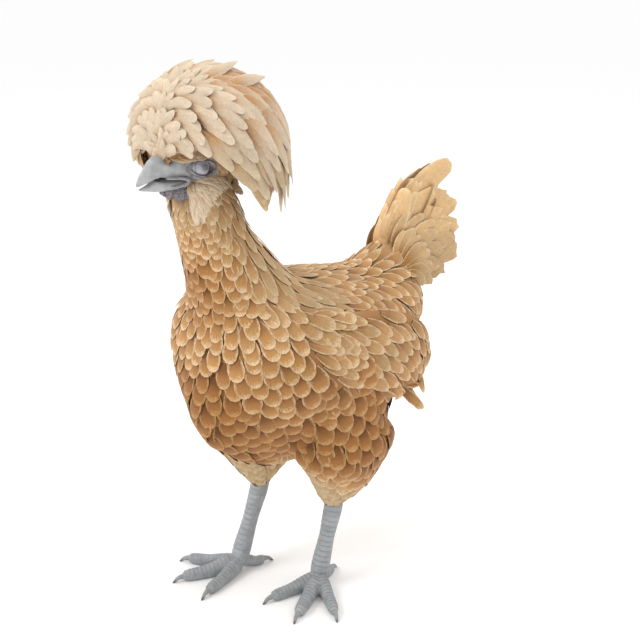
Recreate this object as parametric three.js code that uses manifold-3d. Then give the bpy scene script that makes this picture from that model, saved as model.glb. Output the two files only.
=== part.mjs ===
// A Polish crested hen, life size, standing still. Millimetres, +Z up, bill towards -Y, the hen's left
// towards +X. The body is made of lofted forms, parted by thin gaps, so that every piece meets its
// neighbour. Crest, muffs, wings and tail are vanes in tiers, each rooted in the core of its own piece.
import * as THREE from "three";
import { mergeVertices } from "three/addons/utils/BufferGeometryUtils.js";
import Module from "manifold-3d";

const wasm = await Module();
wasm.setup();

// Driving dimensions.
const GAP = 0.3; // between pieces that meet
const CENTRE_Y = 54; // from the point between the feet back to the middle of the hen's length
const LEFT = 1;
const RIGHT = -1;
const BIG = 600; // a box this wide cuts the whole hen

// Each ring of a form gives x, y, z of its centre, its half width, and its reach above and below the
// centre. A path that climbs, as the neck's, has its front for above; one that comes down has its back
// for above.
const TORSO = [
  [0, -73, 250, 0, 0, 0],
  [0, -56, 244, 54, 46, 64],
  [0, -20, 226, 75, 60, 92],
  [0, 26, 210, 77, 66, 100],
  [0, 72, 210, 69, 61, 84],
  [0, 112, 220, 53, 49, 60],
  [0, 147, 237, 36, 32, 38],
  [0, 173, 249, 0, 0, 0],
];
const TORSO_KEEL = 0.6; // how far the torso narrows towards its underside
const NECK = [
  [0, -2, 205, 0, 0, 0],
  [0, -22, 240, 56, 46, 46],
  [0, -42, 280, 39, 34, 38],
  [0, -57, 314, 28, 28, 27],
  [0, -66, 344, 24, 25, 24],
  [0, -68, 378, 0, 0, 0],
];
const HEAD = [
  [0, -106, 374, 0, 0, 0],
  [0, -98, 374, 8.5, 9, 9],
  [0, -84, 373, 14.5, 15, 15],
  [0, -66, 373, 18, 19, 19],
  [0, -48, 373, 16, 17, 18],
  [0, -36, 372, 0, 0, 0],
];
const BILL_UPPER = [
  [0, -126, 362.5, 0, 0, 0],
  [0, -123, 366.5, 2.4, 4, 3.4],
  [0, -117, 370.5, 4.6, 7.2, 5.8],
  [0, -108.5, 374, 6.8, 9.8, 9.2],
  [0, -98, 375.5, 8.6, 10, 11],
  [0, -88, 375, 0, 0, 0],
];
const BILL_LOWER = [
  [0, -124, 360, 0, 0, 0],
  [0, -117, 360, 3.4, 2.6, 3],
  [0, -108, 360.5, 5.4, 4, 4.4],
  [0, -97, 361, 7.8, 3.4, 5.6],
  [0, -88, 361.5, 0, 0, 0],
];
const NOSTRIL = { at: [7, -104.5, 376.5], size: [2.4, 3, 1.2] };
const EYE = { at: [9.6, -80, 371], radius: 8 };
// A lid is part of a thin shell over the eyeball, past a plane so far above or below its middle, tilted
// forward.
const LID = { thick: 0.95, upper: { from: 3.4, tilt: 14 }, lower: { from: -4.6, tilt: 8 } };
const LID_RING = { radius: 8.8, tube: 1.2, out: 14.4 };
// Place and half sizes of each fold of the wattle on the hen's left.
const WATTLE_FOLDS = [
  { at: [4, -98, 352], size: [2.2, 4.5, 4.6] },
  { at: [6, -92, 350], size: [2.4, 4.5, 6] },
  { at: [8.6, -86, 349.5], size: [2.2, 4.2, 5] },
];

// Breadth of a vane at shares of its length. Tail feathers end broad and round, the others taper.
const LANCE = [[0, 0.3], [0.36, 0.72], [0.74, 1], [1, 0.14]];
const LEAF = [[0, 0.45], [0.62, 1], [1, 0.2]];
const PADDLE = [[0, 0.3], [0.5, 0.84], [0.86, 1], [1, 0.42]];

// A dome of vanes: its middle, its reach, the middles and half sizes of its core, the pole that the
// vanes part from, and its tiers. Each tier gives its tips' angle from the pole, its vanes on one side,
// the range of turns that they take down that side, their breadth, the angle back to their roots, and
// the share of the reach at which these lie.
const CREST = {
  at: [0, -57, 389],
  reach: [68, 54, 53],
  core: [
    { at: [0, -62, 390], size: [33, 27, 26] },
    { at: [0, -82, 391], size: [22, 16, 17] },
  ],
  pole: [0, -1, -0.1],
  thick: 1.2,
  droop: 19,
  swirl: 16,
  tiers: [
    { tips: 17, vanes: 2, from: 30, to: 86, breadth: 15, back: 13, root: 0.7, outline: LEAF },
    { tips: 32, vanes: 3, from: 6, to: 86, breadth: 18, back: 23, root: 0.7, outline: LANCE },
    { tips: 50, vanes: 4, from: 18, to: 92, breadth: 19, back: 32, root: 0.62, outline: LANCE },
    { tips: 71, vanes: 5, from: 4, to: 104, breadth: 21, back: 42, root: 0.48, outline: LANCE },
    { tips: 93, vanes: 5, from: 16, to: 116, breadth: 23, back: 48, root: 0.46, outline: LANCE },
    { tips: 114, vanes: 6, from: 3, to: 126, breadth: 23, back: 50, root: 0.46, outline: LANCE },
    { tips: 134, vanes: 5, from: 16, to: 128, breadth: 22, back: 50, root: 0.46, outline: LANCE },
    { tips: 153, vanes: 3, from: 24, to: 128, breadth: 21, back: 50, root: 0.46, outline: LANCE },
  ],
};
const FACE = { at: [0, -100, 340], reach: [90, 50, 45] }; // the crest is cut clear of the face here
const MUFF = {
  at: [11, -75, 353],
  reach: [13, 22, 19],
  core: [{ at: [11, -75, 353], size: [7.8, 13, 11.4] }],
  pole: [0.2, -0.75, 0.65],
  thick: 1.4,
  droop: 2,
  swirl: 0,
  tiers: [
    { tips: 60, vanes: 3, from: 46, to: 138, breadth: 9, back: 40, root: 0.5, outline: LEAF },
    { tips: 94, vanes: 4, from: 34, to: 150, breadth: 9.5, back: 46, root: 0.5, outline: LEAF },
    { tips: 128, vanes: 3, from: 56, to: 146, breadth: 9, back: 50, root: 0.5, outline: LEAF },
  ],
};

const WING = [
  [62, -26, 252, 0, 0, 0],
  [68, 0, 238, 8, 24, 24],
  [74, 36, 222, 8, 33, 31],
  [75, 74, 212, 7, 33, 27],
  [70, 106, 206, 5, 22, 20],
  [64, 120, 202, 0, 0, 0],
];
// Rows of wing feathers, from the shoulder back: how far along the wing their tips and roots lie, how
// many there are from the upper edge to the lower, that range as angles over the wing's face, and their
// breadth.
const WING_ROWS = [
  { tips: 0.42, root: 0.14, vanes: 3, from: -34, to: 34, breadth: 15 },
  { tips: 0.57, root: 0.28, vanes: 4, from: -48, to: 46, breadth: 15 },
  { tips: 0.73, root: 0.42, vanes: 4, from: -52, to: 50, breadth: 16 },
  { tips: 0.89, root: 0.56, vanes: 4, from: -44, to: 52, breadth: 14 },
  { tips: 1.06, root: 0.68, vanes: 3, from: -28, to: 54, breadth: 15 },
];
// A wing feather's height over the wing's face at its root, middle and tip. The face is so many times as
// high as deep, and past the share of the wing that carries feathers their ends hang free.
const WING_VANE = {
  thick: 1.2,
  root: -3,
  middle: 3.4,
  tip: 5,
  face: 4,
  carried: 0.97,
  length: 156,
  hang: 0.3,
};

const TAIL_BASE = [
  [0, 96, 238, 0, 0, 0],
  [0, 114, 246, 32, 20, 26],
  [0, 134, 256, 24, 20, 22],
  [0, 152, 265, 16, 16, 17],
  [0, 163, 271, 0, 0, 0],
];
const TAIL_ROOT = [0, 136, 254]; // the feathers fan out from here, as the two slopes of a tent
// Each tier of tail feathers: the angles above level of its first and last, their lengths in turn on
// each side, and their breadth.
const TAIL_TIERS = [
  { first: 61, last: -13, lengths: [96, 106, 106, 104, 99, 92, 82], breadth: 27 },
  { first: 66, last: -17, lengths: [66, 76, 76, 72, 63], breadth: 25 },
  { first: 68, last: -26, lengths: [44, 51, 50, 44], breadth: 22 },
];
// How far out from the middle plane a tail feather lies: at the first one's root, more to the last
// one's, more to their tips, and from tier to tier; its thickness, how far it arches back, and how it
// leans, as a tent.
const TAIL_SPREAD = { root: 2.6, stack: 11, tip: 1, splay: 8, tier: 4.6, thick: 1.3, arch: 12, lean: 0.05 };

// The hind limbs. The right foot stands a step ahead of the left and both turn out.
const FOOT = {
  [LEFT]: { x: 30, y: 23, turn: 22, hock: [34, 36, 74] },
  [RIGHT]: { x: -37, y: -6, turn: 27, hock: [-34, 16, 77] },
};
// Rings of a thigh, from inside the body down to where its feathers end at the hock: the first three by
// x, how far behind the hock they lie and z, the others by x, y, z past the hock.
const THIGH = {
  body: [
    [40, 9, 168, 0, 0, 0],
    [41, 4, 142, 38, 60, 52],
    [38, 3, 108, 27, 40, 34],
  ],
  hock: [
    [0, 0, 8, 12.5, 14.5, 14],
    [0, 0, -5, 0, 0, 0],
  ],
};
const SHANK = { top: [7.4, 8.2, 8.2], middle: [6.4, 6.8, 6.8], ankle: [7.6, 7.8, 7.8], ankleHeight: 17 };
const TOES = {
  inner: { length: 48, turn: -37, rise: 8, root: 5.6, tip: 4.2, scutes: 5 },
  middle: { length: 53, turn: 0, rise: 8, root: 6.2, tip: 4.4, scutes: 6 },
  outer: { length: 49, turn: 34, rise: 8, root: 5.6, tip: 4.2, scutes: 5 },
  hind: { length: 22, turn: 172, rise: 11, root: 4.4, tip: 3.6, scutes: 3 },
};
// Rings of a claw: how far past the toe's end, height, and half sizes.
const CLAW = [
  [-7, 4.4, 0, 0, 0],
  [-3, 4.8, 2.5, 2.5, 2.5],
  [3.9, 3.8, 1.75, 1.75, 1.75],
  [7.2, 1.2, 1.1, 1.1, 1.1],
  [9.1, 0, 0, 0, 0],
];
// Plates down a shank, how far each stands out at its lower edge, and the part of a limb that they cover.
const SCUTES = { shank: 8, rise: 0.8, from: 0.12, to: 0.88 };

const v3 = (x, y, z) => new THREE.Vector3(x, y, z);
const radians = THREE.MathUtils.degToRad;
const mix = THREE.MathUtils.lerp;
const { sin, cos, PI } = Math;

// A repeatable draw from -1 to 1.
let seed = 7;
function draw() {
  seed = (seed * 16807) % 2147483647;
  return (2 * seed) / 2147483647 - 1;
}

// A table's row at a fraction of its length, by Catmull-Rom in each column. Radii go by their squares,
// so that ends are round.
function ringAt(rings, fraction) {
  const place = Math.min(Math.max(fraction, 0), 1) * (rings.length - 1);
  const first = Math.min(Math.floor(place), rings.length - 2);
  const u = place - first;
  const row = (i) => rings[Math.min(Math.max(i, 0), rings.length - 1)];
  return row(0).map((_, column) => {
    const value = (i) => (column < 3 ? row(i)[column] : row(i)[column] ** 2);
    const [a, b, c, d] = [value(first - 1), value(first), value(first + 1), value(first + 2)];
    const [square, cube] = [2 * a - 5 * b + 4 * c - d, 3 * b - a - 3 * c + d];
    const mixed = 0.5 * (2 * b + (c - a) * u + square * u ** 2 + cube * u ** 3);
    return column < 3 ? mixed : Math.sqrt(Math.max(mixed, 0));
  });
}

// A place on a form's skin: a fraction along its path, and the sideways and downward parts of the
// direction round it.
function onForm(rings, fraction, sideways, down, { keel = 0, rise = 0 } = {}) {
  const step = 1e-3;
  const [cx, cy, cz, wide, above, below] = ringAt(rings, fraction);
  const before = ringAt(rings, Math.max(fraction - step, 0));
  const after = ringAt(rings, Math.min(fraction + step, 1));
  const tangent = v3(after[0] - before[0], after[1] - before[1], after[2] - before[2]).normalize();
  const across = v3(1, 0, 0).addScaledVector(tangent, -tangent.x).normalize();
  const up = across.clone().cross(tangent);
  const lift = -down * ((down < 0 ? above : below) + rise);
  const breadth = sideways * wide * (1 - keel * Math.max(down, 0) ** 2);
  return v3(cx, cy, cz).addScaledVector(across, breadth).addScaledVector(up, lift);
}

// A closed surface through a table of rings: a sphere's rows are carried to the rings, which stand
// square to the path. Scutes are plates on its two faces, each rising towards its lower edge and
// stepping back to the next.
function form(rings, sides, rows, { floor = -Infinity, keel = 0, scutes = 0, rise = 0 } = {}) {
  const shape = new THREE.SphereGeometry(1, sides, rows);
  const position = shape.attributes.position;
  const fractionOf = (row) => {
    if (!scutes || row <= 1 || row >= rows - 1) return row / rows;
    const plate = Math.floor((row - 2) / 2);
    const share = (plate + ((row - 2) % 2) * 0.9) / scutes;
    return mix(SCUTES.from, SCUTES.to, share);
  };
  for (let i = 0; i < position.count; i++) {
    const [x, y, z] = [position.getX(i), position.getY(i), position.getZ(i)];
    const angle = Math.acos(Math.min(Math.max(y, -1), 1));
    const round = Math.max(sin(angle), 1e-9);
    const row = Math.round((angle / PI) * rows);
    const raised = scutes && row > 1 && row < rows - 1 && (row - 2) % 2 ? rise : 0;
    const point = onForm(rings, fractionOf(row), x / round, z / round, { keel, rise: raised });
    position.setXYZ(i, point.x, point.y, Math.max(point.z, floor));
  }
  return shape;
}
const scuteRows = (scutes) => 2 * scutes + 3;

const mirrored = (rings) => rings.map(([x, ...rest]) => [-x, ...rest]);
const sided = (rings, side) => (side === LEFT ? rings : mirrored(rings));

// A closed geometry with its shared corners merged, moved out along its normals by a distance.
function grown(shape, by) {
  const bare = new THREE.BufferGeometry().setIndex(shape.index);
  bare.setAttribute("position", shape.attributes.position.clone());
  const merged = mergeVertices(bare, 1e-4);
  if (by) {
    merged.computeVertexNormals();
    const { position, normal } = merged.attributes;
    for (let i = 0; i < position.count; i++) {
      const [x, y, z] = [position.getX(i), position.getY(i), position.getZ(i)];
      position.setXYZ(i, x + by * normal.getX(i), y + by * normal.getY(i), z + by * normal.getZ(i));
    }
  }
  return merged;
}

// A closed geometry as a solid, grown by a distance.
function solid(shape, by = 0) {
  const merged = grown(shape, by);
  const vertProperties = merged.attributes.position.array;
  const triVerts = new Uint32Array(merged.index.array);
  return new wasm.Manifold(new wasm.Mesh({ numProp: 3, vertProperties, triVerts }));
}

// The largest closed body of a solid, as a geometry.
function geometryOf(made) {
  const [largest] = made.decompose().sort((a, b) => b.volume() - a.volume());
  const mesh = largest.getMesh();
  const shape = new THREE.BufferGeometry().setIndex(new THREE.BufferAttribute(mesh.triVerts, 1));
  shape.setAttribute("position", new THREE.BufferAttribute(Float32Array.from(mesh.vertProperties), 3));
  return shape;
}

const cut = (made, ...others) => others.reduce((rest, other) => rest.subtract(other), made);
const joined = (first, others) => others.reduce((sum, other) => sum.add(other), first);

// An ellipsoid about a point, its half sizes along X, Y and Z.
function blob(at, size, sides = 12, rows = 8) {
  const shape = new THREE.SphereGeometry(1, sides, rows);
  shape.rotateX(PI / 2);
  shape.scale(...size);
  return shape.translate(...at);
}

// Everything on one side of the hen's middle plane, less half a gap.
function halfSpace(side) {
  const box = new THREE.BoxGeometry(BIG, 2 * BIG, 2 * BIG);
  return solid(box.translate(side * (BIG / 2 + GAP / 2), 0, 0));
}

// A vane along a bent shaft: a thin plate whose breadth follows an outline and whose face turns to what it
// faces. Both faces are split into triangles alike.
function vane([root, bend, tip], facing, breadth, thick, outline) {
  const shaft = new THREE.QuadraticBezierCurve3(root, bend, tip);
  const corners = outline.flatMap(([at, share]) => {
    const point = shaft.getPoint(at);
    const along = shaft.getTangent(at);
    const across = facing(point).cross(along).normalize();
    const out = along.clone().cross(across);
    const place = (edge, layer) => {
      const [aside, above] = [(edge * share * breadth) / 2, (layer * thick) / 2];
      return point.clone().addScaledVector(across, aside).addScaledVector(out, above);
    };
    return [place(-1, 1), place(1, 1), place(-1, -1), place(1, -1)];
  });
  const faces = [3, 2, 0, 3, 0, 1];
  for (let row = 0; row < outline.length - 1; row++) {
    const [tl, tr, bl, br] = [0, 1, 2, 3].map((corner) => 4 * row + corner);
    const [tl2, tr2, bl2, br2] = [tl, tr, bl, br].map((corner) => corner + 4);
    faces.push(tl, tl2, tr2, tl, tr2, tr, bl, br2, bl2, bl, br, br2);
    faces.push(bl, bl2, tl2, bl, tl2, tl, br, tr2, br2, br, tr, tr2);
  }
  const end = 4 * (outline.length - 1);
  faces.push(end + 3, end, end + 2, end + 3, end + 1, end);
  const shape = new THREE.BufferGeometry().setFromPoints(corners);
  return solid(shape.setIndex(faces));
}

// One side's vanes of a dome, fused with its core. A vane leaves the core nearer the pole, rises and
// lies back over the vanes behind it; at the side it turns down by the swirl, and its tip hangs by the
// droop.
function dome({ at, reach, core, pole, thick, droop, swirl, tiers }, side) {
  const middle = v3(side * at[0], at[1], at[2]);
  const front = v3(side * pole[0], pole[1], pole[2]).normalize();
  const lateral = v3(side, 0, 0).addScaledVector(front, -side * front.x).normalize();
  const top = front.clone().cross(lateral).multiplyScalar(side);
  const place = (back, turn, share) => {
    const ray = front.clone().multiplyScalar(cos(radians(back)));
    ray.addScaledVector(top, sin(radians(back)) * cos(radians(turn)));
    ray.addScaledVector(lateral, sin(radians(back)) * sin(radians(turn)));
    const size = 1 / Math.hypot(ray.x / reach[0], ray.y / reach[1], ray.z / reach[2]);
    return middle.clone().addScaledVector(ray, share * size);
  };
  const facing = (point) => {
    const ray = point.clone().sub(middle);
    return v3(ray.x / reach[0] ** 2, ray.y / reach[1] ** 2, ray.z / reach[2] ** 2).normalize();
  };
  const vanes = tiers.flatMap((tier) =>
    Array.from({ length: tier.vanes }, (_, i) => {
      const turn = mix(tier.from, tier.to, i / (tier.vanes - 1)) + 2.5 * draw();
      const tips = tier.tips + 3 * draw();
      const aside = sin(radians(Math.min(turn, 90)));
      const start = Math.max(tips - tier.back, 2);
      const twist = swirl * aside * Math.min(tips / 90, 1);
      const tip = place(tips, turn, 1 + 0.03 * draw());
      tip.z -= droop * aside * THREE.MathUtils.smoothstep(tips, 50, 110);
      const bend = place(mix(tips, start, 0.42), turn - 0.4 * twist, 1.06);
      const shaft = [place(start, turn - twist, tier.root), bend, tip];
      return vane(shaft, facing, tier.breadth, thick, tier.outline);
    }),
  );
  const inner = core.map(({ at: [x, y, z], size }) => solid(blob([side * x, y, z], size, 12, 8)));
  return joined(inner[0], [...inner.slice(1), ...vanes]);
}

// The wing's rows of feathers on its face, fused with the wing.
function plumedWing(side) {
  const rings = sided(WING, side);
  const { thick, root, middle, tip, face, carried, length, hang } = WING_VANE;
  const outward = (over) => v3(side * face * cos(radians(over)), 0, -sin(radians(over))).normalize();
  const onWing = (along, over, lift) => {
    const skin = onForm(rings, Math.min(along, carried), side * cos(radians(over)), sin(radians(over)));
    const beyond = Math.max(along - carried, 0) * length;
    return skin.addScaledVector(outward(over), lift).add(v3(0, beyond, -hang * beyond));
  };
  const vanes = WING_ROWS.flatMap((row) =>
    Array.from({ length: row.vanes }, (_, i) => {
      const over = mix(row.from, row.to, i / (row.vanes - 1)) + 2 * draw();
      const tips = row.tips + 0.01 * draw();
      const bend = onWing(mix(row.root, tips, 0.5), over * 0.9, middle);
      const shaft = [onWing(row.root, over * 0.8, root), bend, onWing(tips, over, tip)];
      return vane(shaft, () => outward(over), row.breadth, thick, LANCE);
    }),
  );
  return joined(solid(form(rings, 9, 7)), vanes);
}

// The tail: tiers of feathers fanned from one root on both sides of the middle plane, fused with its
// base. Each lies a little further out than the one above it, so that they overlap and meet only at the
// root.
function plumedTail() {
  const [rx, ry, rz] = TAIL_ROOT;
  const spread = TAIL_SPREAD;
  const longest = Math.max(...TAIL_TIERS.flatMap((tier) => tier.lengths));
  const vanes = [LEFT, RIGHT].flatMap((side) =>
    TAIL_TIERS.flatMap((tier, level) =>
      tier.lengths.map((fullLength, i) => {
        const share = i / (tier.lengths.length - 1);
        const angle = radians(mix(tier.first, tier.last, share) + 1.5 * draw());
        const length = fullLength * (1 + 0.02 * draw());
        const fanned = (reach, rise) => {
          const flare = (spread.tip + spread.splay * share) * (reach / longest);
          const out = spread.root + spread.stack * share + spread.tier * level + flare;
          const [back, up] = [reach * cos(angle) - rise * sin(angle), reach * sin(angle) + rise * cos(angle)];
          return v3(rx + side * out, ry + back, rz + up);
        };
        const arch = spread.arch * Math.max(sin(angle), 0.3);
        const shaft = [fanned(4, 0), fanned(length * 0.55, arch), fanned(length, -0.5 * arch)];
        const facing = v3(side, -spread.lean * sin(angle), spread.lean * cos(angle));
        return vane(shaft, () => facing.clone(), tier.breadth, spread.thick, PADDLE);
      }),
    ),
  );
  return joined(solid(form(TAIL_BASE, 10, 7)), vanes);
}

const bird = new THREE.Group();

function add(name, made, color, roughness = 0.9) {
  const material = new THREE.MeshStandardMaterial({ color, roughness, metalness: 0 });
  material.flatShading = true;
  const mesh = new THREE.Mesh(geometryOf(made), material);
  mesh.name = name;
  bird.add(mesh);
  return mesh;
}

const BUFF = 0xc08a50;
const CREAM = 0xdcc29a;
const SLATE = 0xa9adb0;
const HORN = 0x9fa6ab;
const WATTLE_SKIN = 0x6d5c62;

const sideName = (side) => (side === LEFT ? "left" : "right");

// Torso, neck and head, with its lids and eyes.
const torsoShape = form(TORSO, 20, 16, { keel: TORSO_KEEL });
const neckShape = form(NECK, 14, 10);
const headShape = form(HEAD, 12, 9);
const torsoWide = solid(torsoShape, GAP);
const neckWide = solid(neckShape, GAP);
let head = solid(headShape);
let headWide = solid(headShape, GAP);

// A lid: the part of a shell over the eyeball that lies past its plane, in the direction of way.
function lid(side, { from, tilt }, way) {
  const [x, y, z] = EYE.at;
  const size = EYE.radius + LID.thick;
  const past = new THREE.BoxGeometry(4 * size, 4 * size, 2 * size);
  past.translate(0, 0, from + way * size).rotateX(radians(tilt)).translate(side * x, y, z);
  return solid(blob([side * x, y, z], [size, size, size], 10, 7)).intersect(solid(past));
}
for (const side of [LEFT, RIGHT]) {
  const [x, y, z] = EYE.at;
  const ball = blob([side * x, y, z], [EYE.radius, EYE.radius, EYE.radius], 12, 7);
  const ring = new THREE.TorusGeometry(LID_RING.radius, LID_RING.tube, 3, 10);
  ring.rotateY(PI / 2).translate(side * LID_RING.out, y, z);
  head = joined(head, [solid(ring), lid(side, LID.upper, 1), lid(side, LID.lower, -1)]);
  headWide = joined(headWide, [solid(ring, GAP), solid(ball, LID.thick + GAP)]);
  head = head.subtract(solid(ball, GAP));
  add("eye_" + sideName(side), solid(ball), SLATE, 0.2);
}
add("torso", solid(torsoShape), BUFF);
add("neck", cut(solid(neckShape), torsoWide, headWide), BUFF);
add("head", head, CREAM);

// The bill, parted at the mouth, with a nostril on each side.
const upperShape = form(BILL_UPPER, 10, 9);
const lowerShape = form(BILL_LOWER, 9, 7);
const upperWide = solid(upperShape, GAP);
const lowerWide = solid(lowerShape, GAP);
const nostrils = [LEFT, RIGHT].map((side) => {
  const [x, y, z] = NOSTRIL.at;
  return solid(blob([side * x, y, z], NOSTRIL.size, 7, 5));
});
add("bill_upper", cut(solid(upperShape), headWide, ...nostrils), HORN, 0.5);
add("bill_lower", cut(solid(lowerShape), headWide, upperWide), HORN, 0.5);

const face = solid(blob(FACE.at, FACE.reach, 18, 12));
for (const side of [LEFT, RIGHT]) {
  const name = sideName(side);
  const half = halfSpace(side);
  const muff = cut(dome(MUFF, side).intersect(half), headWide, neckWide, lowerWide, upperWide);
  const muffWide = solid(geometryOf(muff), GAP);
  add("muff_" + name, muff, CREAM);

  const foldOf = ({ at: [x, y, z], size }) => solid(blob([side * x, y, z], size, 6, 4));
  const [firstFold, ...folds] = WATTLE_FOLDS.map(foldOf);
  const wattle = joined(firstFold, folds).intersect(half);
  add("wattle_" + name, cut(wattle, headWide, neckWide, lowerWide, muffWide), WATTLE_SKIN);

  const crest = dome(CREST, side).intersect(half);
  add("crest_" + name, cut(crest, face, headWide, neckWide, upperWide, muffWide), CREAM);

  const foot = FOOT[side];
  const [hx, hy, hz] = foot.hock;
  const thighRings = [
    ...THIGH.body.map(([x, behind, z, ...size]) => [side * x, hy + behind, z, ...size]),
    ...THIGH.hock.map(([x, y, z, ...size]) => [hx + x, hy + y, hz + z, ...size]),
  ];
  const thighShape = form(thighRings, 13, 9);
  const thighWide = solid(thighShape, GAP);
  add("thigh_" + name, cut(solid(thighShape), torsoWide), CREAM);
  add("wing_" + name, cut(plumedWing(side), torsoWide, neckWide, thighWide), BUFF);

  const ankle = [foot.x, foot.y, SHANK.ankleHeight];
  const halfway = foot.hock.map((value, axis) => (value + ankle[axis]) / 2);
  const shankRings = [
    [hx, hy + 2, hz + 14, 0, 0, 0],
    [...foot.hock, ...SHANK.top],
    [...halfway, ...SHANK.middle],
    [...ankle, ...SHANK.ankle],
    [foot.x, foot.y - 4, 2, 0, 0, 0],
  ];
  const shankPlates = { floor: 0, scutes: SCUTES.shank, rise: SCUTES.rise };
  const shankShape = form(shankRings, 9, scuteRows(SCUTES.shank), shankPlates);
  add("shank_" + name, cut(solid(shankShape), thighWide), SLATE, 0.6);
  let earlier = solid(shankShape, GAP);
  for (const [toeName, toe] of Object.entries(TOES)) {
    const heading = radians(foot.turn + toe.turn);
    const [ahead, aside] = [-cos(heading), side * sin(heading)];
    const at = (reach, height) => [foot.x + aside * reach, foot.y + ahead * reach, height];
    const { length, rise, root, tip } = toe;
    const toeRings = [
      [...at(0, rise), 0, 0, 0],
      [...at(length * 0.2, rise * 0.8), root, root, root + 2],
      [...at(length * 0.6, 4.4), root * 0.9, root * 0.9, root],
      [...at(length * 0.92, 4), tip, tip, tip + 1],
      [...at(length, 3.6), 0, 0, 0],
    ];
    const toePlates = { floor: 0, scutes: toe.scutes, rise: SCUTES.rise };
    const toeShape = form(toeRings, 7, scuteRows(toe.scutes), toePlates);
    const toeWide = solid(toeShape, GAP);
    const clawRings = CLAW.map(([past, height, ...size]) => [...at(length + past, height), ...size]);
    const claw = solid(form(clawRings, 5, 5, { floor: 0 }));
    add(`toe_${name}_${toeName}`, cut(solid(toeShape), earlier), SLATE, 0.6);
    add(`claw_${name}_${toeName}`, cut(claw, toeWide), HORN, 0.4);
    earlier = earlier.add(toeWide);
  }
}
add("tail", cut(plumedTail(), torsoWide), CREAM);

bird.position.set(0, -CENTRE_Y, 0);

export default bird;
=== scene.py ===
# %% [markdown]
# # A Polish crested hen, life size
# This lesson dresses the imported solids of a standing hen: one skin, a coat of feathers that are each a
# small closed mesh, and a bill, eyes, wattles, legs and claws of their own. The frame brings the solids in,
# in metres. Every size below is in the hen's millimetres, with the bill towards -Y and her left towards +X,
# and one helper carries them into the frame.

# %% Load the frame
import math

import bpy
import numpy as np
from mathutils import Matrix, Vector, interpolate, kdtree
from mathutils.bvhtree import BVHTree


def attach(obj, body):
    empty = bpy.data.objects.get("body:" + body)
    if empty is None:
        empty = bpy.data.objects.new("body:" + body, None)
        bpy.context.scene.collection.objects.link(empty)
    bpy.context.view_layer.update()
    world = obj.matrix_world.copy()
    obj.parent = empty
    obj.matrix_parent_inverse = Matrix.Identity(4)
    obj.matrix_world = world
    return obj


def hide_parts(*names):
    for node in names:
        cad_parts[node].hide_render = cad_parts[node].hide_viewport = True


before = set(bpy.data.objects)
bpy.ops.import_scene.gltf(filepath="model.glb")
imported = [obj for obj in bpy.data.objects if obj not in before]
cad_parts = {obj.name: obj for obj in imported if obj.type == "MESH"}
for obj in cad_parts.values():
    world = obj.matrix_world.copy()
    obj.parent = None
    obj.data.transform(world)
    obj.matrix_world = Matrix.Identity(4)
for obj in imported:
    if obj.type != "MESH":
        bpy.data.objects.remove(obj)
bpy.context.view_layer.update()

MIDDLE = np.array([0.0, -54.0, 0.0])  # from the point between the feet to the middle of the hen's length


def metres(points):
    """The hen's millimetres in the frame's metres: (p + MIDDLE) / 1000."""
    return (np.asarray(points, float) + MIDDLE) / 1000


# %% [markdown]
# ## Camera, floor and light
# The camera stands a little higher than the crest, off the hen's left front, and looks down on her, in a view
# fitted to the photograph. The floor is one pale sheet far wider than the view, so no edge shows. A key lamp
# from the left of the picture and a broad, weaker one from above and behind stand in a white surround, which
# gives the even studio light with its gentle shade.

# %% Camera and lamps
AZIMUTH, ELEVATION, FIELD = 42, 18.4, 35  # degrees: off the bill's side, down, and across the square picture
SENSOR = 36

scene = bpy.context.scene
camera = bpy.data.objects.new("camera", bpy.data.cameras.new("camera"))
scene.collection.objects.link(camera)
camera.location = (0.5366, -0.5938, 0.4912)
camera.rotation_euler = (math.radians(90 - ELEVATION), 0, math.radians(AZIMUTH))
camera.data.lens = SENSOR / 2 / math.tan(math.radians(FIELD / 2))
camera.data.sensor_width = SENSOR
scene.camera = camera
scene.view_settings.view_transform = "Standard"


def lamp(name, place, aim, size, power):
    """A square soft lamp at a place, facing a point."""
    data = bpy.data.lights.new(name, "AREA")
    data.size, data.energy = size, power
    obj = bpy.data.objects.new(name, data)
    obj.location = place
    obj.rotation_euler = (Vector(aim) - Vector(place)).to_track_quat("-Z", "Y").to_euler()
    scene.collection.objects.link(obj)


lamp("key", (-0.6, -1.25, 1.5), (0, 0, 0.22), 0.8, 13)
lamp("top", (0.3, 0.5, 1.7), (0, 0, 0.2), 1.4, 8)
print("camera at", tuple(round(v, 3) for v in camera.location))

# %% [markdown]
# ## Writing a finish as a formula
# A material in Blender is a graph of nodes, which soon hides the thought behind it. The class below wraps
# one socket, so that the usual operators add Math nodes and a finish reads as the formula that it is.
# Colours mix through one Mix node, since a Math node would turn them grey.


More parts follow.
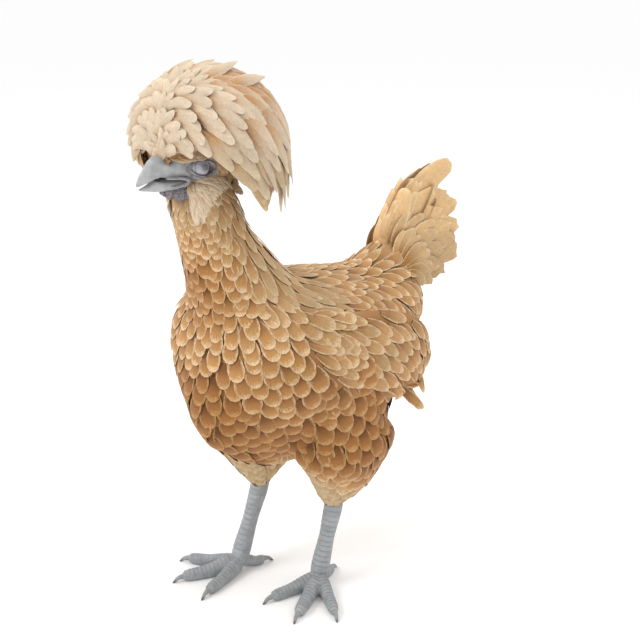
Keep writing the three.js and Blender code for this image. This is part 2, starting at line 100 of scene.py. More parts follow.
# %% A socket that can be reckoned with
class Value:
    """One socket of a material: its operators add Math nodes, and make adds any other node."""

    def __init__(self, tree, socket=None):
        self.tree, self.socket = tree, socket

    def fill(self, target, value):
        """Links a Value to an input, or sets a plain number or colour on it."""
        if isinstance(value, Value):
            self.tree.links.new(value.socket, target)
        elif hasattr(target.default_value, "__len__") and len(value) == 3 and len(target.default_value) == 4:
            target.default_value = (*value, 1)
        else:
            target.default_value = value

    def make(self, kind, settings=None, inputs=None, output=0):
        """Adds a node of a kind, its settings first and then its sockets, and gives one of its outputs."""
        node = self.tree.nodes.new(kind)
        for name, setting in (settings or {}).items():
            setattr(node, name, setting)
        for name, value in (inputs or {}).items():
            self.fill(node.inputs[name], value)
        return Value(self.tree, node.outputs[output])

    def math(self, operation, *values):
        """One Math node on Values and numbers."""
        return self.make("ShaderNodeMath", {"operation": operation}, dict(enumerate(values)))

    def __add__(self, other): return self.math("ADD", self, other)
    def __radd__(self, other): return self.math("ADD", other, self)
    def __sub__(self, other): return self.math("SUBTRACT", self, other)
    def __rsub__(self, other): return self.math("SUBTRACT", other, self)
    def __mul__(self, other): return self.math("MULTIPLY", self, other)
    def __rmul__(self, other): return self.math("MULTIPLY", other, self)
    def __truediv__(self, other): return self.math("DIVIDE", self, other)
    def __rtruediv__(self, other): return self.math("DIVIDE", other, self)
    def __abs__(self): return self.math("ABSOLUTE", self)

    def between(self, low, high):
        """0 below low, 1 above high, and a smooth rise from one to the other."""
        return self.make("ShaderNodeMapRange", {"interpolation_type": "SMOOTHSTEP"},
                         {"Value": self, "From Min": low, "From Max": high})

    def blend(self, first, second):
        """The first colour where this value is 0 and the second where it is 1."""
        return self.make("ShaderNodeMix", {"data_type": "RGBA"}, {0: self, 6: first, 7: second}, 2)

    def scale_color(self, color):
        """A colour times this value: each of its parts is multiplied."""
        return self.make("ShaderNodeVectorMath", {"operation": "SCALE"}, {0: color, "Scale": self})


# %% The nodes that most finishes share
def noise(place, scale, detail, roughness=0.5):
    """Noise, 0 to 1, at a place."""
    return place.make("ShaderNodeTexNoise", None,
                      {"Vector": place, "Scale": scale, "Detail": detail, "Roughness": roughness})


def point(x, y, z):
    """Three numbers as one vector."""
    return x.make("ShaderNodeCombineXYZ", None, {0: x, 1: y, 2: z})


def on_object(start):
    """The place on the object, in metres."""
    return start.make("ShaderNodeTexCoord", output="Object")


def on_map(start, name):
    """Both coordinates of one of the mesh's maps."""
    first = start.make("ShaderNodeSeparateXYZ", None, {0: start.make("ShaderNodeUVMap", {"uv_map": name})})
    return first, Value(first.tree, first.socket.node.outputs[1])


def told(start, name):
    """A number that the mesh holds for each of its points."""
    return start.make("ShaderNodeAttribute", {"attribute_name": name}, output="Fac")


# %% Colours, and a finish from its parts
def srgb(text):
    """A screen's colour, six hex digits, in Blender's linear light: ((c + 0.055) / 1.055) ** 2.4."""
    parts = np.array([int(text[i:i + 2], 16) for i in (0, 2, 4)]) / 255
    return tuple(np.where(parts <= 0.04045, parts / 12.92, ((parts + 0.055) / 1.055) ** 2.4))


def new_finish(name):
    """An empty material, a Value on its tree, and a function that closes it with one shader."""
    material = bpy.data.materials.new(name)
    material.use_nodes = True
    tree = material.node_tree
    shader = tree.nodes["Principled BSDF"]
    start = Value(tree)

    def close(color, roughness, height=None, depth=0.0, **fixed):
        """Sets the shader: colour, roughness, a bump of a depth in metres, and constants by socket name."""
        start.fill(shader.inputs["Base Color"], color)
        start.fill(shader.inputs["Roughness"], roughness)
        if height is not None:
            bump = start.make("ShaderNodeBump", None, {"Strength": 1.0, "Distance": depth, "Height": height})
            tree.links.new(bump.socket, shader.inputs["Normal"])
        for socket, value in fixed.items():
            start.fill(shader.inputs[socket.replace("_", " ")], value)
        return material

    return start, close


# %% The surround
world = bpy.data.worlds.new("surround")
scene.world = world
world.use_nodes = True
sky = world.node_tree.nodes["Background"].inputs
sky["Color"].default_value = (1, 1, 1, 1)
sky["Strength"].default_value = 1.0

# %% The floor
FLOOR_REACH = 30.0  # metres each way

start, close = new_finish("pale_paper")
paper = close(noise(on_object(start), 60.0, 4.0).blend(srgb("FBFBFB"), srgb("FFFFFF")), 0.9)
floor_mesh = bpy.data.meshes.new("floor")
edges = [(x * FLOOR_REACH, y * FLOOR_REACH, 0) for x, y in ((-1, -1), (1, -1), (1, 1), (-1, 1))]
floor_mesh.from_pydata(edges, [], [(0, 1, 2, 3)])
floor_mesh.materials.append(paper)
floor = bpy.data.objects.new("floor", floor_mesh)
scene.collection.objects.link(floor)
print("floor:", 2 * FLOOR_REACH, "m square")

# %% [markdown]
# ## The finish of a feather
# A feather has a shaft, barbs that slant from it to the tip, and on this hen a pale lace round the free end
# over a golden or creamy vane that darkens to the root, partly by its own colour and partly by painted shade
# where the feathers before it overlap. Painting would need an image, and an even colour would lose all this,
# so each vane carries its own map in millimetres, off the shaft and back from the tip, and the finish is
# drawn on it. Values on the mesh say how creamy a feather is, how light, how far its edge is and how plainly
# its shaft shows, so that one finish serves the whole bird.

# %% The pattern of a vane: barbs, clouds, lace, fading with painted shade at the root, and shaft
TOLD = ("tone", "shade", "rim", "quill", "span")
SIDE_LACE = 0.42  # share of the half width
TIP_LACE, TIP_LACE_MOST = 0.33, 9.0  # share of the length, and millimetres

start, close = new_finish("plumage")
tone, shade, rim, quill, span = (told(start, name) for name in TOLD)
off_shaft, to_tip = on_map(start, "vane")
aside = abs(off_shaft)
barbs = noise(point(off_shaft * 1.3, (to_tip + aside * 0.8) * 0.5, shade * 40), 1.0, 3.0, 0.65)
clouds = noise(point(off_shaft * 0.3, to_tip * 0.16, shade * 70), 1.0, 2.0)
inward = rim / (rim + aside + 0.01)
near_side = start.math("MAXIMUM", 1 - inward / SIDE_LACE, 0.0)
lace_length = start.math("MINIMUM", span * TIP_LACE, TIP_LACE_MOST)
near_tip = start.math("MAXIMUM", 1 - to_tip / lace_length, 0.0)
edge_on = start.math("SQRT", near_side * near_side * 0.7 + near_tip * near_tip) + (barbs - 0.5) * 1.3
lace = edge_on.between(0.1, 1.0)
# towards the root the vane takes the root colour: partly its own, partly painted shade under the overlap
fade_of_root_shade = 1 - (to_tip / span + (clouds - 0.5) * 0.3).between(0.25, 0.8)
shaft = (1 - aside.between(0.1, 0.5)) * quill * 0.5


# %% The colours of a vane, by its tone
def by_tone(dark, gold, cream, pale, straw):
    """A colour by the feather's tone: dark at -1, gold at 0, cream at 1, pale at 2 and straw at 3. The dark
    gold at -1 is partly the coat's own deeper gold and partly painted shade low on the body.
    """
    golden = (tone + 1).blend(srgb(dark), srgb(gold))
    light_one = (tone - 1).blend(tone.blend(golden, srgb(cream)), srgb(pale))
    return (tone - 2).blend(light_one, srgb(straw))


# the root colour, which also serves as the painted shade between overlapping feathers
root_and_overlap_shade = by_tone("6E4320", "916238", "B9905F", "B68454", "B98549")
body = by_tone("9A6634", "B98952", "BA9F78", "CFBBA1", "DEB886")
edge = by_tone("C0955F", "E8CCA6", "CBB38E", "D6C4AB", "EBCFA4")
vane_color = (lace * (0.55 + clouds * 0.6)).blend(fade_of_root_shade.blend(root_and_overlap_shade, body), edge)
vane_color = shaft.blend(vane_color, edge)
light = 0.84 + shade * 0.14 + (barbs - 0.5) * 0.5 + (clouds - 0.5) * 0.3
plumage = close(light.scale_color(vane_color), 0.78, barbs * 0.6 + shaft, 0.0004,
                Specular_IOR_Level=0.2, Sheen_Weight=0.1, Sheen_Roughness=0.5)
print("plumage:", len(plumage.node_tree.nodes), "nodes")

# %% [markdown]
# ## The finishes of skin, horn and scale
# Where no feather hides it, the skin of the face is thin, grey-purple and finely wrinkled, while under the
# coat it only shows as a warm dark ground between the vanes. Bill and claws are horn with fine growth
# lines, and the legs are plated with dry scutes, each with its own shade and a dark joint.

# %% Skin of body and face
start, close = new_finish("skin")
place, bare, tone_and_shade = on_object(start), told(start, "bare"), told(start, "tone")
wrinkles = noise(place, 420.0, 5.0, 0.65)
pores = start.make("ShaderNodeTexVoronoi", None, {"Vector": place, "Scale": 900.0})
folds = wrinkles.between(0.3, 0.7)
# a low tone turns bare skin purple: the wattles' own colour, and painted shade in the face's creases
purple_and_crease_shade = folds.blend(srgb("453B40"), srgb("7B7076"))
naked = tone_and_shade.blend(purple_and_crease_shade, folds.blend(srgb("868285"), srgb("ADABAE")))
downy = tone_and_shade.blend(srgb("9A6A3A"), srgb("C8A67A"))
skin_finish = close(bare.blend(downy, naked), 0.72 - bare * 0.15, wrinkles * 0.6 + pores * 0.3, 0.0004,
                    Specular_IOR_Level=0.35)

# %% Horn of bill and claws
start, close = new_finish("horn")
place = on_object(start)
cloud = noise(place, 130.0, 4.0, 0.55)
lines_at = start.make("ShaderNodeMapping", None, {"Vector": place, "Scale": (900.0, 160.0, 900.0)})
lines = noise(lines_at, 1.0, 3.0)
horn_color = cloud.between(0.25, 0.75).blend(srgb("929495"), srgb("B6B7B8"))
# the mesh's value darkens the horn: the claws' own dark horn, and painted shade in the nostril pits and the
# mouth
horn_color = told(start, "dark_horn_and_shade").blend(horn_color, srgb("3F3B3C"))
horn = close(horn_color, 0.42 + lines * 0.2, lines * 0.4 + cloud, 0.0003, Specular_IOR_Level=0.4)

# %% Scutes of the legs
start, close = new_finish("scutes")
place, plate, front = on_object(start), told(start, "plate"), told(start, "front")
step, number = start.math("FRACT", plate), start.math("FLOOR", plate)
joint = front * (1 - step.between(0.0, 0.14) + step.between(0.9, 1.0))
tint = start.make("ShaderNodeTexWhiteNoise", {"noise_dimensions": "1D"}, {"W": number})
small = start.make("ShaderNodeTexVoronoi", {"feature": "DISTANCE_TO_EDGE"},
                   {"Vector": place, "Scale": 430.0})
net = (1 - small.between(0.0, 0.12)) * (1 - front)
mottle = noise(place, 210.0, 4.0, 0.6)
leg_color = (mottle * 0.85 + tint * 0.15).between(0.2, 0.8).blend(srgb("8B8F92"), srgb("A5A8AA"))
leg_color = (joint * 0.35).blend(leg_color, srgb("65696C"))
leg_color = (net * 0.35).blend(leg_color, srgb("7B8084"))
scutes = close(leg_color, 0.6 - tint * 0.1, mottle * 0.3 - joint * 0.7 - net * 0.5, 0.0005,
               Specular_IOR_Level=0.35)

# %% The eye: streaked iris, soft pupil and two rings
start, close = new_finish("eye")
round_axis, off_axis = on_map(start, "iris")
streaks = noise(point(round_axis * 40, off_axis * 3, 0.0), 1.0, 3.0)
iris = streaks.between(0.3, 0.7).blend(srgb("A2A2AB"), srgb("B4B3BC"))
iris = off_axis.between(0.1, 0.15).blend(srgb("8E8E98"), iris)
for first, last, ring in ((0.27, 0.29, "767C82"), (0.31, 0.33, "C0C4C7")):
    iris = off_axis.between(first, last).blend(iris, srgb(ring))
eye_finish = close(iris, 0.12, Specular_IOR_Level=0.6, Coat_Weight=1.0, Coat_Roughness=0.04)
print("finishes:", {m.name: len(m.node_tree.nodes) for m in bpy.data.materials if m.use_nodes})

# %% [markdown]
# ## From arrays to Blender
# Every shape here is worked out as a whole array of points with numpy and handed over in one go, which is
# quick and keeps each formula in one place. One helper makes any mesh object, and others give the faces of
# a surface that is laid out as rows round a path, and join several such surfaces.


# %% Meshes from arrays
def mesh_object(name, points, faces, finish, maps=None, values=None, crisp=None):
    """An object from points (n, 3) and arrays of faces, with maps and values given for each point."""
    mesh = bpy.data.meshes.new(name)
    corners = np.concatenate([part.ravel() for part in faces]).astype(np.int32)
    sizes = np.concatenate([np.full(len(part), part.shape[1]) for part in faces])
    mesh.vertices.add(len(points))
    mesh.vertices.foreach_set("co", metres(points).astype(np.float32).ravel())
    mesh.loops.add(len(corners))
    mesh.loops.foreach_set("vertex_index", corners)
    mesh.polygons.add(len(sizes))
    mesh.polygons.foreach_set("loop_start", np.r_[0, sizes.cumsum()[:-1]].astype(np.int32))
    mesh.update(calc_edges=True)
    mesh.shade_smooth()
    for label, uv in (maps or {}).items():
        layer = mesh.uv_layers.new(name=label)
        layer.data.foreach_set("uv", uv[corners].astype(np.float32).ravel())
    for label, value in (values or {}).items():
        attribute = mesh.attributes.new(label, "FLOAT", "POINT")
        attribute.data.foreach_set("value", np.asarray(value, np.float32))
    if crisp is not None:
        mesh.set_sharp_from_angle(angle=math.radians(crisp))
    mesh.materials.append(finish)
    obj = bpy.data.objects.new(name, mesh)
    scene.collection.objects.link(obj)
    return obj


def place_piece(piece, slot, *nodes):
    """Puts a piece on the hen's one body and hides the solids that it stands for; its slot is not used."""
    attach(piece, "root")
    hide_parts(*nodes)
    print(piece.name, "triangles:", sum(len(face.vertices) - 2 for face in piece.data.polygons))


# %% Closed surfaces from rows round a path
def tube(grid):
    """Points and faces of rows round a path, (rows, round, 3): the first and last rows close to one point."""
    rows, sides = grid.shape[:2]
    points = np.concatenate([grid[:1, 0], grid[1:-1].reshape(-1, 3), grid[-1:, 0]])

    def at(row, side):
        """The number of a point between the two closed ends."""
        return 1 + row * sides + side % sides

    row, side = np.meshgrid(np.arange(rows - 3), np.arange(sides), indexing="ij")
    quads = np.stack([at(row, side), at(row, side + 1), at(row + 1, side + 1), at(row + 1, side)], -1)
    turn, last = np.arange(sides), len(points) - 1
    caps = np.concatenate([
        np.stack([np.zeros(sides, int), at(0, turn + 1), at(0, turn)], -1),
        np.stack([np.full(sides, last), at(rows - 3, turn), at(rows - 3, turn + 1)], -1),
    ])
    return points, [quads.reshape(-1, 4), caps]


def join(parts):
    """Several surfaces, points and [quads, caps] each, in one: faces' numbers go up by the points before."""
    firsts = np.cumsum([0] + [len(points) for points, _ in parts])
    faces = [np.concatenate([own[k] + first for (_, own), first in zip(parts, firsts)]) for k in range(2)]
    return np.concatenate([points for points, _ in parts]), faces


def gather(grids):
    """Many closed grids as one set of points and faces."""
    return join([tube(grid) for grid in grids])


# %% Small sums with arrays
def unit(vectors):
    """Vectors at length 1."""
    return vectors / np.maximum(np.linalg.norm(vectors, axis=-1, keepdims=True), 1e-9)


def smooth(value, low, high):
    """0 below low, 1 above high, 3t² - 2t³ between."""
    t = np.clip((value - low) / (high - low), 0, 1)
    return t * t * (3 - 2 * t)


def ridge(value, place, width):
    """1 where a value is at a place, and less on both sides of it: exp(-((value - place) / width)²)."""
    return np.exp(-((value - place) / width) ** 2)


def rows_at(table, places):
    """A table's columns at places counted in rows, in straight lines from row to row."""
    return np.stack([np.interp(places, np.arange(len(table)), column) for column in table.T], 1)


def tree_of(places):
    """A tree that finds the nearest of some places."""
    tree = kdtree.KDTree(len(places))
    for i, place in enumerate(places):
        tree.insert(place, i)
    tree.balance()
    return tree


# %% [markdown]
# ## The forms of the body
# Each part of a hen is a fat spindle: narrow at the ends, full between. The solids were made from short
# tables of rings, each with its middle, half width, and reach above and below. The same tables, read with a
# smooth curve between the rings and on a finer grid, give the same forms without facets.

# %% Tables of rings: middle x, y, z, half width, reach up, reach down
TORSO = [[0, -73, 250, 0, 0, 0], [0, -56, 244, 54, 46, 64], [0, -20, 226, 75, 60, 92],
         [0, 26, 210, 77, 66, 100], [0, 72, 210, 69, 61, 84], [0, 112, 220, 53, 49, 60],
         [0, 147, 237, 36, 32, 38], [0, 173, 249, 0, 0, 0]]
NECK = [[0, -2, 205, 0, 0, 0], [0, -22, 240, 56, 46, 46], [0, -42, 280, 39, 34, 38],
        [0, -57, 314, 28, 28, 27], [0, -66, 344, 24, 25, 24], [0, -68, 378, 0, 0, 0]]
HEAD = [[0, -102.5, 373, 0, 0, 0], [0, -96.5, 373.5, 8.2, 8.6, 9], [0, -84, 373, 14.5, 15, 15],
        [0, -66, 373, 18, 19, 19], [0, -48, 373, 16, 17, 18], [0, -36, 372, 0, 0, 0]]
WING = [[60, -30, 256, 0, 0, 0], [68, 0, 238, 8, 24, 25], [74, 36, 222, 8, 34, 32], [75, 72, 209, 7, 35, 36],
        [70, 100, 202, 6, 27, 28], [64, 124, 198, 0, 0, 0]]
TAIL_BASE = [[0, 96, 238, 0, 0, 0], [0, 114, 246, 32, 20, 26], [0, 134, 256, 24, 20, 22],
             [0, 152, 265, 16, 16, 17], [0, 163, 271, 0, 0, 0]]
SIDES = {"left": 1, "right": -1}
FEET = {"left": dict(at=(30, 23), turn=22, hock=(34, 36, 74)),
        "right": dict(at=(-37, -6), turn=27, hock=(-34, 16, 77))}


# %% The surface through the rings
def ring_at(rings, fraction):
    """A table's row at a fraction of its length, by Catmull-Rom: for rows a, b, c, d and the share u from b
    to c, (2b + (c - a)u + (2a - 5b + 4c - d)u² + (3b - a - 3c + d)u³) / 2, with radii by their squares."""
    table = np.array(rings, float)
    table[:, 3:] **= 2
    place = np.clip(fraction, 0, 1) * (len(table) - 1)
    first = np.minimum(place.astype(int), len(table) - 2)
    u = (place - first)[..., None]
    a, b, c, d = (table[np.clip(first + k, 0, len(table) - 1)] for k in (-1, 0, 1, 2))
    row = (2 * b + (c - a) * u + (2 * a - 5 * b + 4 * c - d) * u**2 + (3 * b - a - 3 * c + d) * u**3) / 2
    row[..., 3:] = np.sqrt(np.maximum(row[..., 3:], 0))
    return row


def on_form(rings, fraction, turn, keel=0.0, square=(2.0, 2.0)):
    """Points on a form: its row's middle plus across * width * sin(turn) plus up * reach * cos(turn). A
    power over 2 makes the upper or lower half boxier, and a keel narrows the lower half by keel * cos²."""
    fraction, turn = np.broadcast_arrays(np.asarray(fraction, float), np.asarray(turn, float))
    row = ring_at(rings, fraction)
    step = 1e-3
    tangent = unit(ring_at(rings, fraction + step)[..., :3] - ring_at(rings, fraction - step)[..., :3])
    across = unit(np.array([1.0, 0, 0]) - tangent * tangent[..., :1])
    up = np.cross(across, tangent)
    upper = np.cos(turn) > 0
    power = np.where(upper, square[0], square[1])
    sideways = np.sign(np.sin(turn)) * np.abs(np.sin(turn)) ** (2 / power)
    rise = np.sign(np.cos(turn)) * np.abs(np.cos(turn)) ** (2 / power)
    reach = np.where(upper, row[..., 4], row[..., 5])
    wide = row[..., 3] * (1 - keel * np.where(upper, 0, np.cos(turn) ** 2))
    return row[..., :3] + across * (sideways * wide)[..., None] + up * (rise * reach)[..., None]


def form(rings, sides=64, rows=72, keel=0.0, square=(2.0, 2.0)):
    """A form's grid, (rows, sides, 3), with rows closer together at the ends: fraction = (1 - cos) / 2."""
    fraction = (1 - np.cos(np.linspace(0, np.pi, rows))) / 2
    turn = np.linspace(0, 2 * np.pi, sides, endpoint=False)
    return on_form(rings, fraction[:, None], turn[None], keel, square)


def blob(middle, size, sides=48, rows=32):
    """An ellipsoid's grid: middle + size * (sin a cos b, sin a sin b, -cos a)."""
    a = np.linspace(0, np.pi, rows)[:, None]
    b = np.linspace(0, 2 * np.pi, sides, endpoint=False)[None]
    ball = np.stack(np.broadcast_arrays(np.sin(a) * np.cos(b), np.sin(a) * np.sin(b), -np.cos(a)), -1)
    return np.array(middle, float) + np.array(size, float) * ball


# %% All the forms of the skin
def thigh_rings(side):
    """A thigh's rings, from inside the body down to the hock."""
    hx, hy, hz = FEET[side]["hock"]
    x = SIDES[side]
    return [[x * 40, hy + 9, 168, 0, 0, 0], [x * 41, hy + 4, 142, 38, 49, 52],
            [x * 38, hy + 3, 108, 27, 40, 34], [hx, hy, hz + 8, 12.5, 14.5, 14], [hx, hy, hz - 5, 0, 0, 0]]


def mirrored(rings, side):
    """A left side's table, turned over for the right side."""
    return [[SIDES[side] * x, *rest] for x, *rest in rings]


forms = {"torso": form(TORSO, 96, 96, keel=0.6), "neck": form(NECK), "head": form(HEAD),
         "tail": form(TAIL_BASE), "crest": blob((0, -55, 402), (45, 37, 30))}
for side, x in SIDES.items():
    forms["thigh_" + side] = form(thigh_rings(side))
    forms["wing_" + side] = form(mirrored(WING, side), 48, 64)
    forms["muff_" + side] = blob((x * 10, -75, 349), (7, 12, 12))
    forms["flank_" + side] = blob((x * 50, 32, 172), (25, 50, 44))
forms["forehead"] = blob((0, -84, 390), (21, 18, 13))
forms["vent"] = blob((0, 134, 222), (40, 40, 38))
print("forms:", {name: grid.shape[:2] for name, grid in forms.items()})

# %% [markdown]
# ## How the coat lies
# Feathers grow in tracts and all point away from the bill: down the breast, back along the saddle, down the
# thighs. Combing thousands one by one is no way to work, so a table gives the lie at some fifty places: the
# direction, and a feather's length, width and depth, and its tone: creamy above 0 and a deeper gold below
# it, which low on the body is partly painted shade. Between the places everything is blended by nearness.

# %% The lie of the coat
NEAR = 16.0  # how far a place's say reaches
# Place, direction, length, width, depth, tone. A tone below 0 is a deeper gold, partly painted shade, on the
# front of the neck and low on the breast, belly, flanks and thighs. Places off the middle plane count on both
# sides.
LIE = np.array([
    [0, -93, 340, 0, 0.05, -1, 12, 4.8, 1.8, 1.0],
    [0, -92, 325, 0, -0.05, -1, 17, 7, 2.4, 0.2],
    [0, -87, 312, 0, -0.1, -1, 18, 10.5, 2.0, -1.3],
    [0, -84, 300, 0, -0.1, -1, 18, 11.5, 2.4, -1.3],
    [18, -78, 292, 0.1, -0.05, -1, 18, 11, 2.8, -0.8],
    [0, -80, 285, 0, -0.1, -1, 18, 11.5, 2.8, -0.6],
    [0, -77, 250, 0, 0.05, -1, 20, 13, 3.0, 0.1],
    [0, -68, 205, 0, 0.3, -1, 21, 15, 3.0, -1.3],
    [0, -40, 155, 0, 0.8, -0.6, 21, 15.5, 3.0, -1.0],
    [0, 20, 115, 0, 1, -0.1, 21, 14, 3.0, -0.5],
    [0, 80, 135, 0, 1, 0.35, 22, 14, 3.2, -0.2],
    [0, 135, 190, 0, 0.9, 0.2, 26, 13, 3.4, 0.0],
    [0, 172, 222, 0, 0.4, -0.3, 26, 12, 3.4, 0.1],
    [0, -45, 360, 0, 0.35, -1, 18, 8, 2.8, 0.6],
    [18, -64, 370, 0.1, 0.8, -0.6, 12, 5, 1.8, 0.8],
    [18, -48, 365, 0.2, 0.6, -0.8, 16, 6.5, 2.0, 0.6],
    [0, -35, 330, 0, 0.45, -1, 28, 9, 2.2, 1.4],
    [0, -10, 300, 0, 0.9, -0.9, 32, 9.5, 2.4, 0.9],
    [0, 25, 285, 0, 1, -0.25, 28, 11.5, 3.0, 0.35],
    [0, 70, 275, 0, 1, 0, 28, 11.5, 3.0, 0.1],
    [0, 110, 270, 0, 1, 0.1, 30, 11.5, 3.2, 0.2],
    [0, 140, 280, 0, 0.7, 0.7, 28, 13, 3.4, 0.5],
    [24, -68, 345, 0.15, 0.15, -1, 17, 6.5, 2.2, 0.7],
    [28, -72, 322, 0.2, 0.1, -1, 19, 9, 2.8, -0.2],
    [24, -48, 320, 0.25, 0.4, -1, 28, 8.5, 2.2, 1.5],
    [40, -55, 290, 0.35, 0.25, -1, 20, 11, 3.0, 0.25],
    [34, -28, 292, 0.4, 0.6, -1, 32, 9.5, 2.4, 1.3],
    [55, -50, 265, 0.3, 0.4, -1, 21, 12.5, 3.0, 0.1],
    [55, -10, 268, 0.3, 1, -0.8, 30, 10.5, 3.2, 0.5],
    [62, -55, 225, 0.05, 0.35, -1, 20, 14.5, 3.2, -0.4],
    [76, -10, 200, 0, 0.5, -0.85, 22, 15.5, 3.2, -0.7],
    [74, 50, 185, 0, 0.5, -0.85, 22, 16, 3.2, -1.0],
    [55, 110, 190, 0, 0.7, -0.6, 25, 14, 3.2, -0.2],
    [38, 150, 235, 0.05, 0.8, -0.6, 30, 12, 3.4, 0.1],
    [50, 100, 255, 0.15, 0.7, -0.6, 32, 11, 3.4, 0.1],
    [55, 40, 270, 0.1, 1, -0.35, 28, 11, 3.2, 0.1],
    [55, -20, 150, -0.1, 0.5, -0.85, 22, 16, 3.2, -1.0],
    [66, 20, 155, 0, 0.25, -1, 22, 16.5, 3.2, -1.0],
    [70, 40, 127, -0.15, 0.05, -1, 21, 16, 3.2, -1.0],
    [44, -14, 146, -0.1, 0.1, -1, 20, 13, 3.0, -1.0],
    [38, 0, 121, -0.1, 0.1, -1, 23, 8, 3.0, 1.5],
    [61, 44, 128, -0.25, -0.05, -1, 20, 13, 3.0, -1.0],
    [51, 36, 109, -0.25, -0.05, -1, 23, 7, 2.8, 1.5],
    [40, 60, 108, -0.1, 0, -1, 23, 7, 2.8, 1.5],
    [36, 26, 82, -0.1, 0, -1, 22, 5.5, 2.0, 1.4],
    [20, 20, 110, 0, 0.1, -1, 22, 7, 3.0, 1.5],
    [12, 45, 105, 0, 0.1, -1, 17, 8, 3.0, 0.7],
])
LIE = np.concatenate([LIE, (LIE * np.r_[-1, 1, 1, -1, np.ones(6)])[LIE[:, 0] > 0]])


def lie_at(points, table=LIE):
    """The table at points: the mean of its rows weighted by exp(-distance² / 2s²), with s as NEAR."""
    nearness = -((points[:, None] - table[None, :, :3]) ** 2).sum(-1) / (2 * NEAR**2)
    weight = np.exp(nearness - nearness.max(1, keepdims=True))
    blended = (weight / weight.sum(1, keepdims=True)) @ table[:, 3:]
    length, width, depth, tone = blended[:, 3:].T
    return dict(direction=unit(blended[:, :3]), length=length, width=width, depth=depth, tone=tone)


print("coat:", len(LIE), "places")

# %% [markdown]
# ## One skin
# Under the feathers a hen is one smooth surface. Joining the forms edge to edge would leave seams, so they
# are thrown together, remeshed as one closed shell and smoothed, and the shell is drawn in by the coat's
# depth, so that the tips of the feathers come out where the solids have their surface. The bare face needs
# finer folds and is shaped on its own grid, sunk into the same piece.


# %% A remeshed shell and its normals
def remeshed(grids, voxel, rounds, finish):
    """Closed grids melted into one shell: a voxel remesh of a size in metres, then rounds of smoothing by
    half. Gives its points, in the hen's millimetres, and its quads."""
    rough = mesh_object("rough", *gather(grids), finish)
    for kind, settings in (("REMESH", dict(mode="VOXEL", voxel_size=voxel)),
                           ("SMOOTH", dict(factor=0.5, iterations=rounds))):
        modifier = rough.modifiers.new(kind.lower(), kind)
        for name, setting in settings.items():
            setattr(modifier, name, setting)
    mesh = bpy.data.meshes.new_from_object(rough.evaluated_get(bpy.context.evaluated_depsgraph_get()))
    bpy.data.objects.remove(rough)
    points = np.empty(len(mesh.vertices) * 3, np.float32)
    mesh.vertices.foreach_get("co", points)
    corners = np.empty(len(mesh.loops), np.int32)
    mesh.loops.foreach_get("vertex_index", corners)
    return points.reshape(-1, 3).astype(float) * 1000 - MIDDLE, corners.reshape(-1, 4)


def corner_normals(points, quads):
    """Each point's normal: the sum of its faces' normals, each (c - a) x (d - b)."""
    a, b, c, d = (points[quads[:, k]] for k in range(4))
    facing = np.cross(c - a, d - b)
    total = np.zeros_like(points)
    for k in range(4):
        np.add.at(total, quads[:, k], facing)
    return unit(total)


below_face = [grid for name, grid in forms.items() if name != "head"]
outer, skin_quads = remeshed(below_face, 0.0024, 8, skin_finish)
print("shell:", len(skin_quads), "quads")

# %% Which form a point belongs to
FEATHERED = ("torso", "neck", "thigh_left", "thigh_right", "flank_left", "flank_right", "vent")
form_points = [grid.reshape(-1, 3) for grid in forms.values()]
form_of = np.repeat(list(forms), [len(points) for points in form_points])
form_tree = tree_of(np.concatenate(form_points))


def part_of(points):
    """The name of the form that each point lies nearest to."""
    return form_of[[form_tree.find(point)[1] for point in points]]


# %% Draw the shell in by the coat's depth
WING_DEPTH, TAIL_DEPTH, BARE_DEPTH = 2.0, 3.0, 0.5

part = part_of(outer)
depth = np.where(np.isin(part, FEATHERED), lie_at(outer)["depth"], BARE_DEPTH)
depth = np.where(np.char.startswith(part, "wing"), WING_DEPTH, np.where(part == "tail", TAIL_DEPTH, depth))
pairs = np.concatenate([skin_quads[:, [k, (k + 1) % 4]] for k in range(4)])
for _ in range(6):
    total, count = depth.copy(), np.ones(len(depth))
    np.add.at(total, pairs[:, 0], depth[pairs[:, 1]])
    np.add.at(count, pairs[:, 0], 1)
    depth = total / count
skin_points = outer - corner_normals(outer, skin_quads) * depth[:, None]
print("drawn in by", round(depth.min(), 1), "to", round(depth.max(), 1), "mm")

# %% [markdown]
# ## The face
# The eye sits in a shallow socket under a straight, frowning brow, with two rings of lid round it and a
# groove between them, and bare, wrinkled grey skin runs from there to the bill. On a face this small a
# sculpted mesh would be hard to keep even, so the head's own form is taken on a grid of about half a
# millimetre and moved out and in by formulas of the distance from the eye.

# %% Distances round the eye
EYE, EYE_RADIUS = np.array([9.6, -80, 371]), 8.0
LID = 0.9  # thickness of a lid over the ball
LENGTHWISE, UPWARD, DOWNWARD = 8.4, 4.6, 5.2  # half sizes of the opening between the lids
SLANT = math.radians(4)

head = form(HEAD, 240, 200)
ahead, above = head[..., 1] - EYE[1], head[..., 2] - EYE[2]
ahead, above = (ahead * math.cos(SLANT) - above * math.sin(SLANT),
                ahead * math.sin(SLANT) + above * math.cos(SLANT))
opening = np.sqrt((ahead / LENGTHWISE) ** 2 + (above / np.where(above > 0, UPWARD, DOWNWARD)) ** 2)
print("grid of the head:", head.shape[:2])

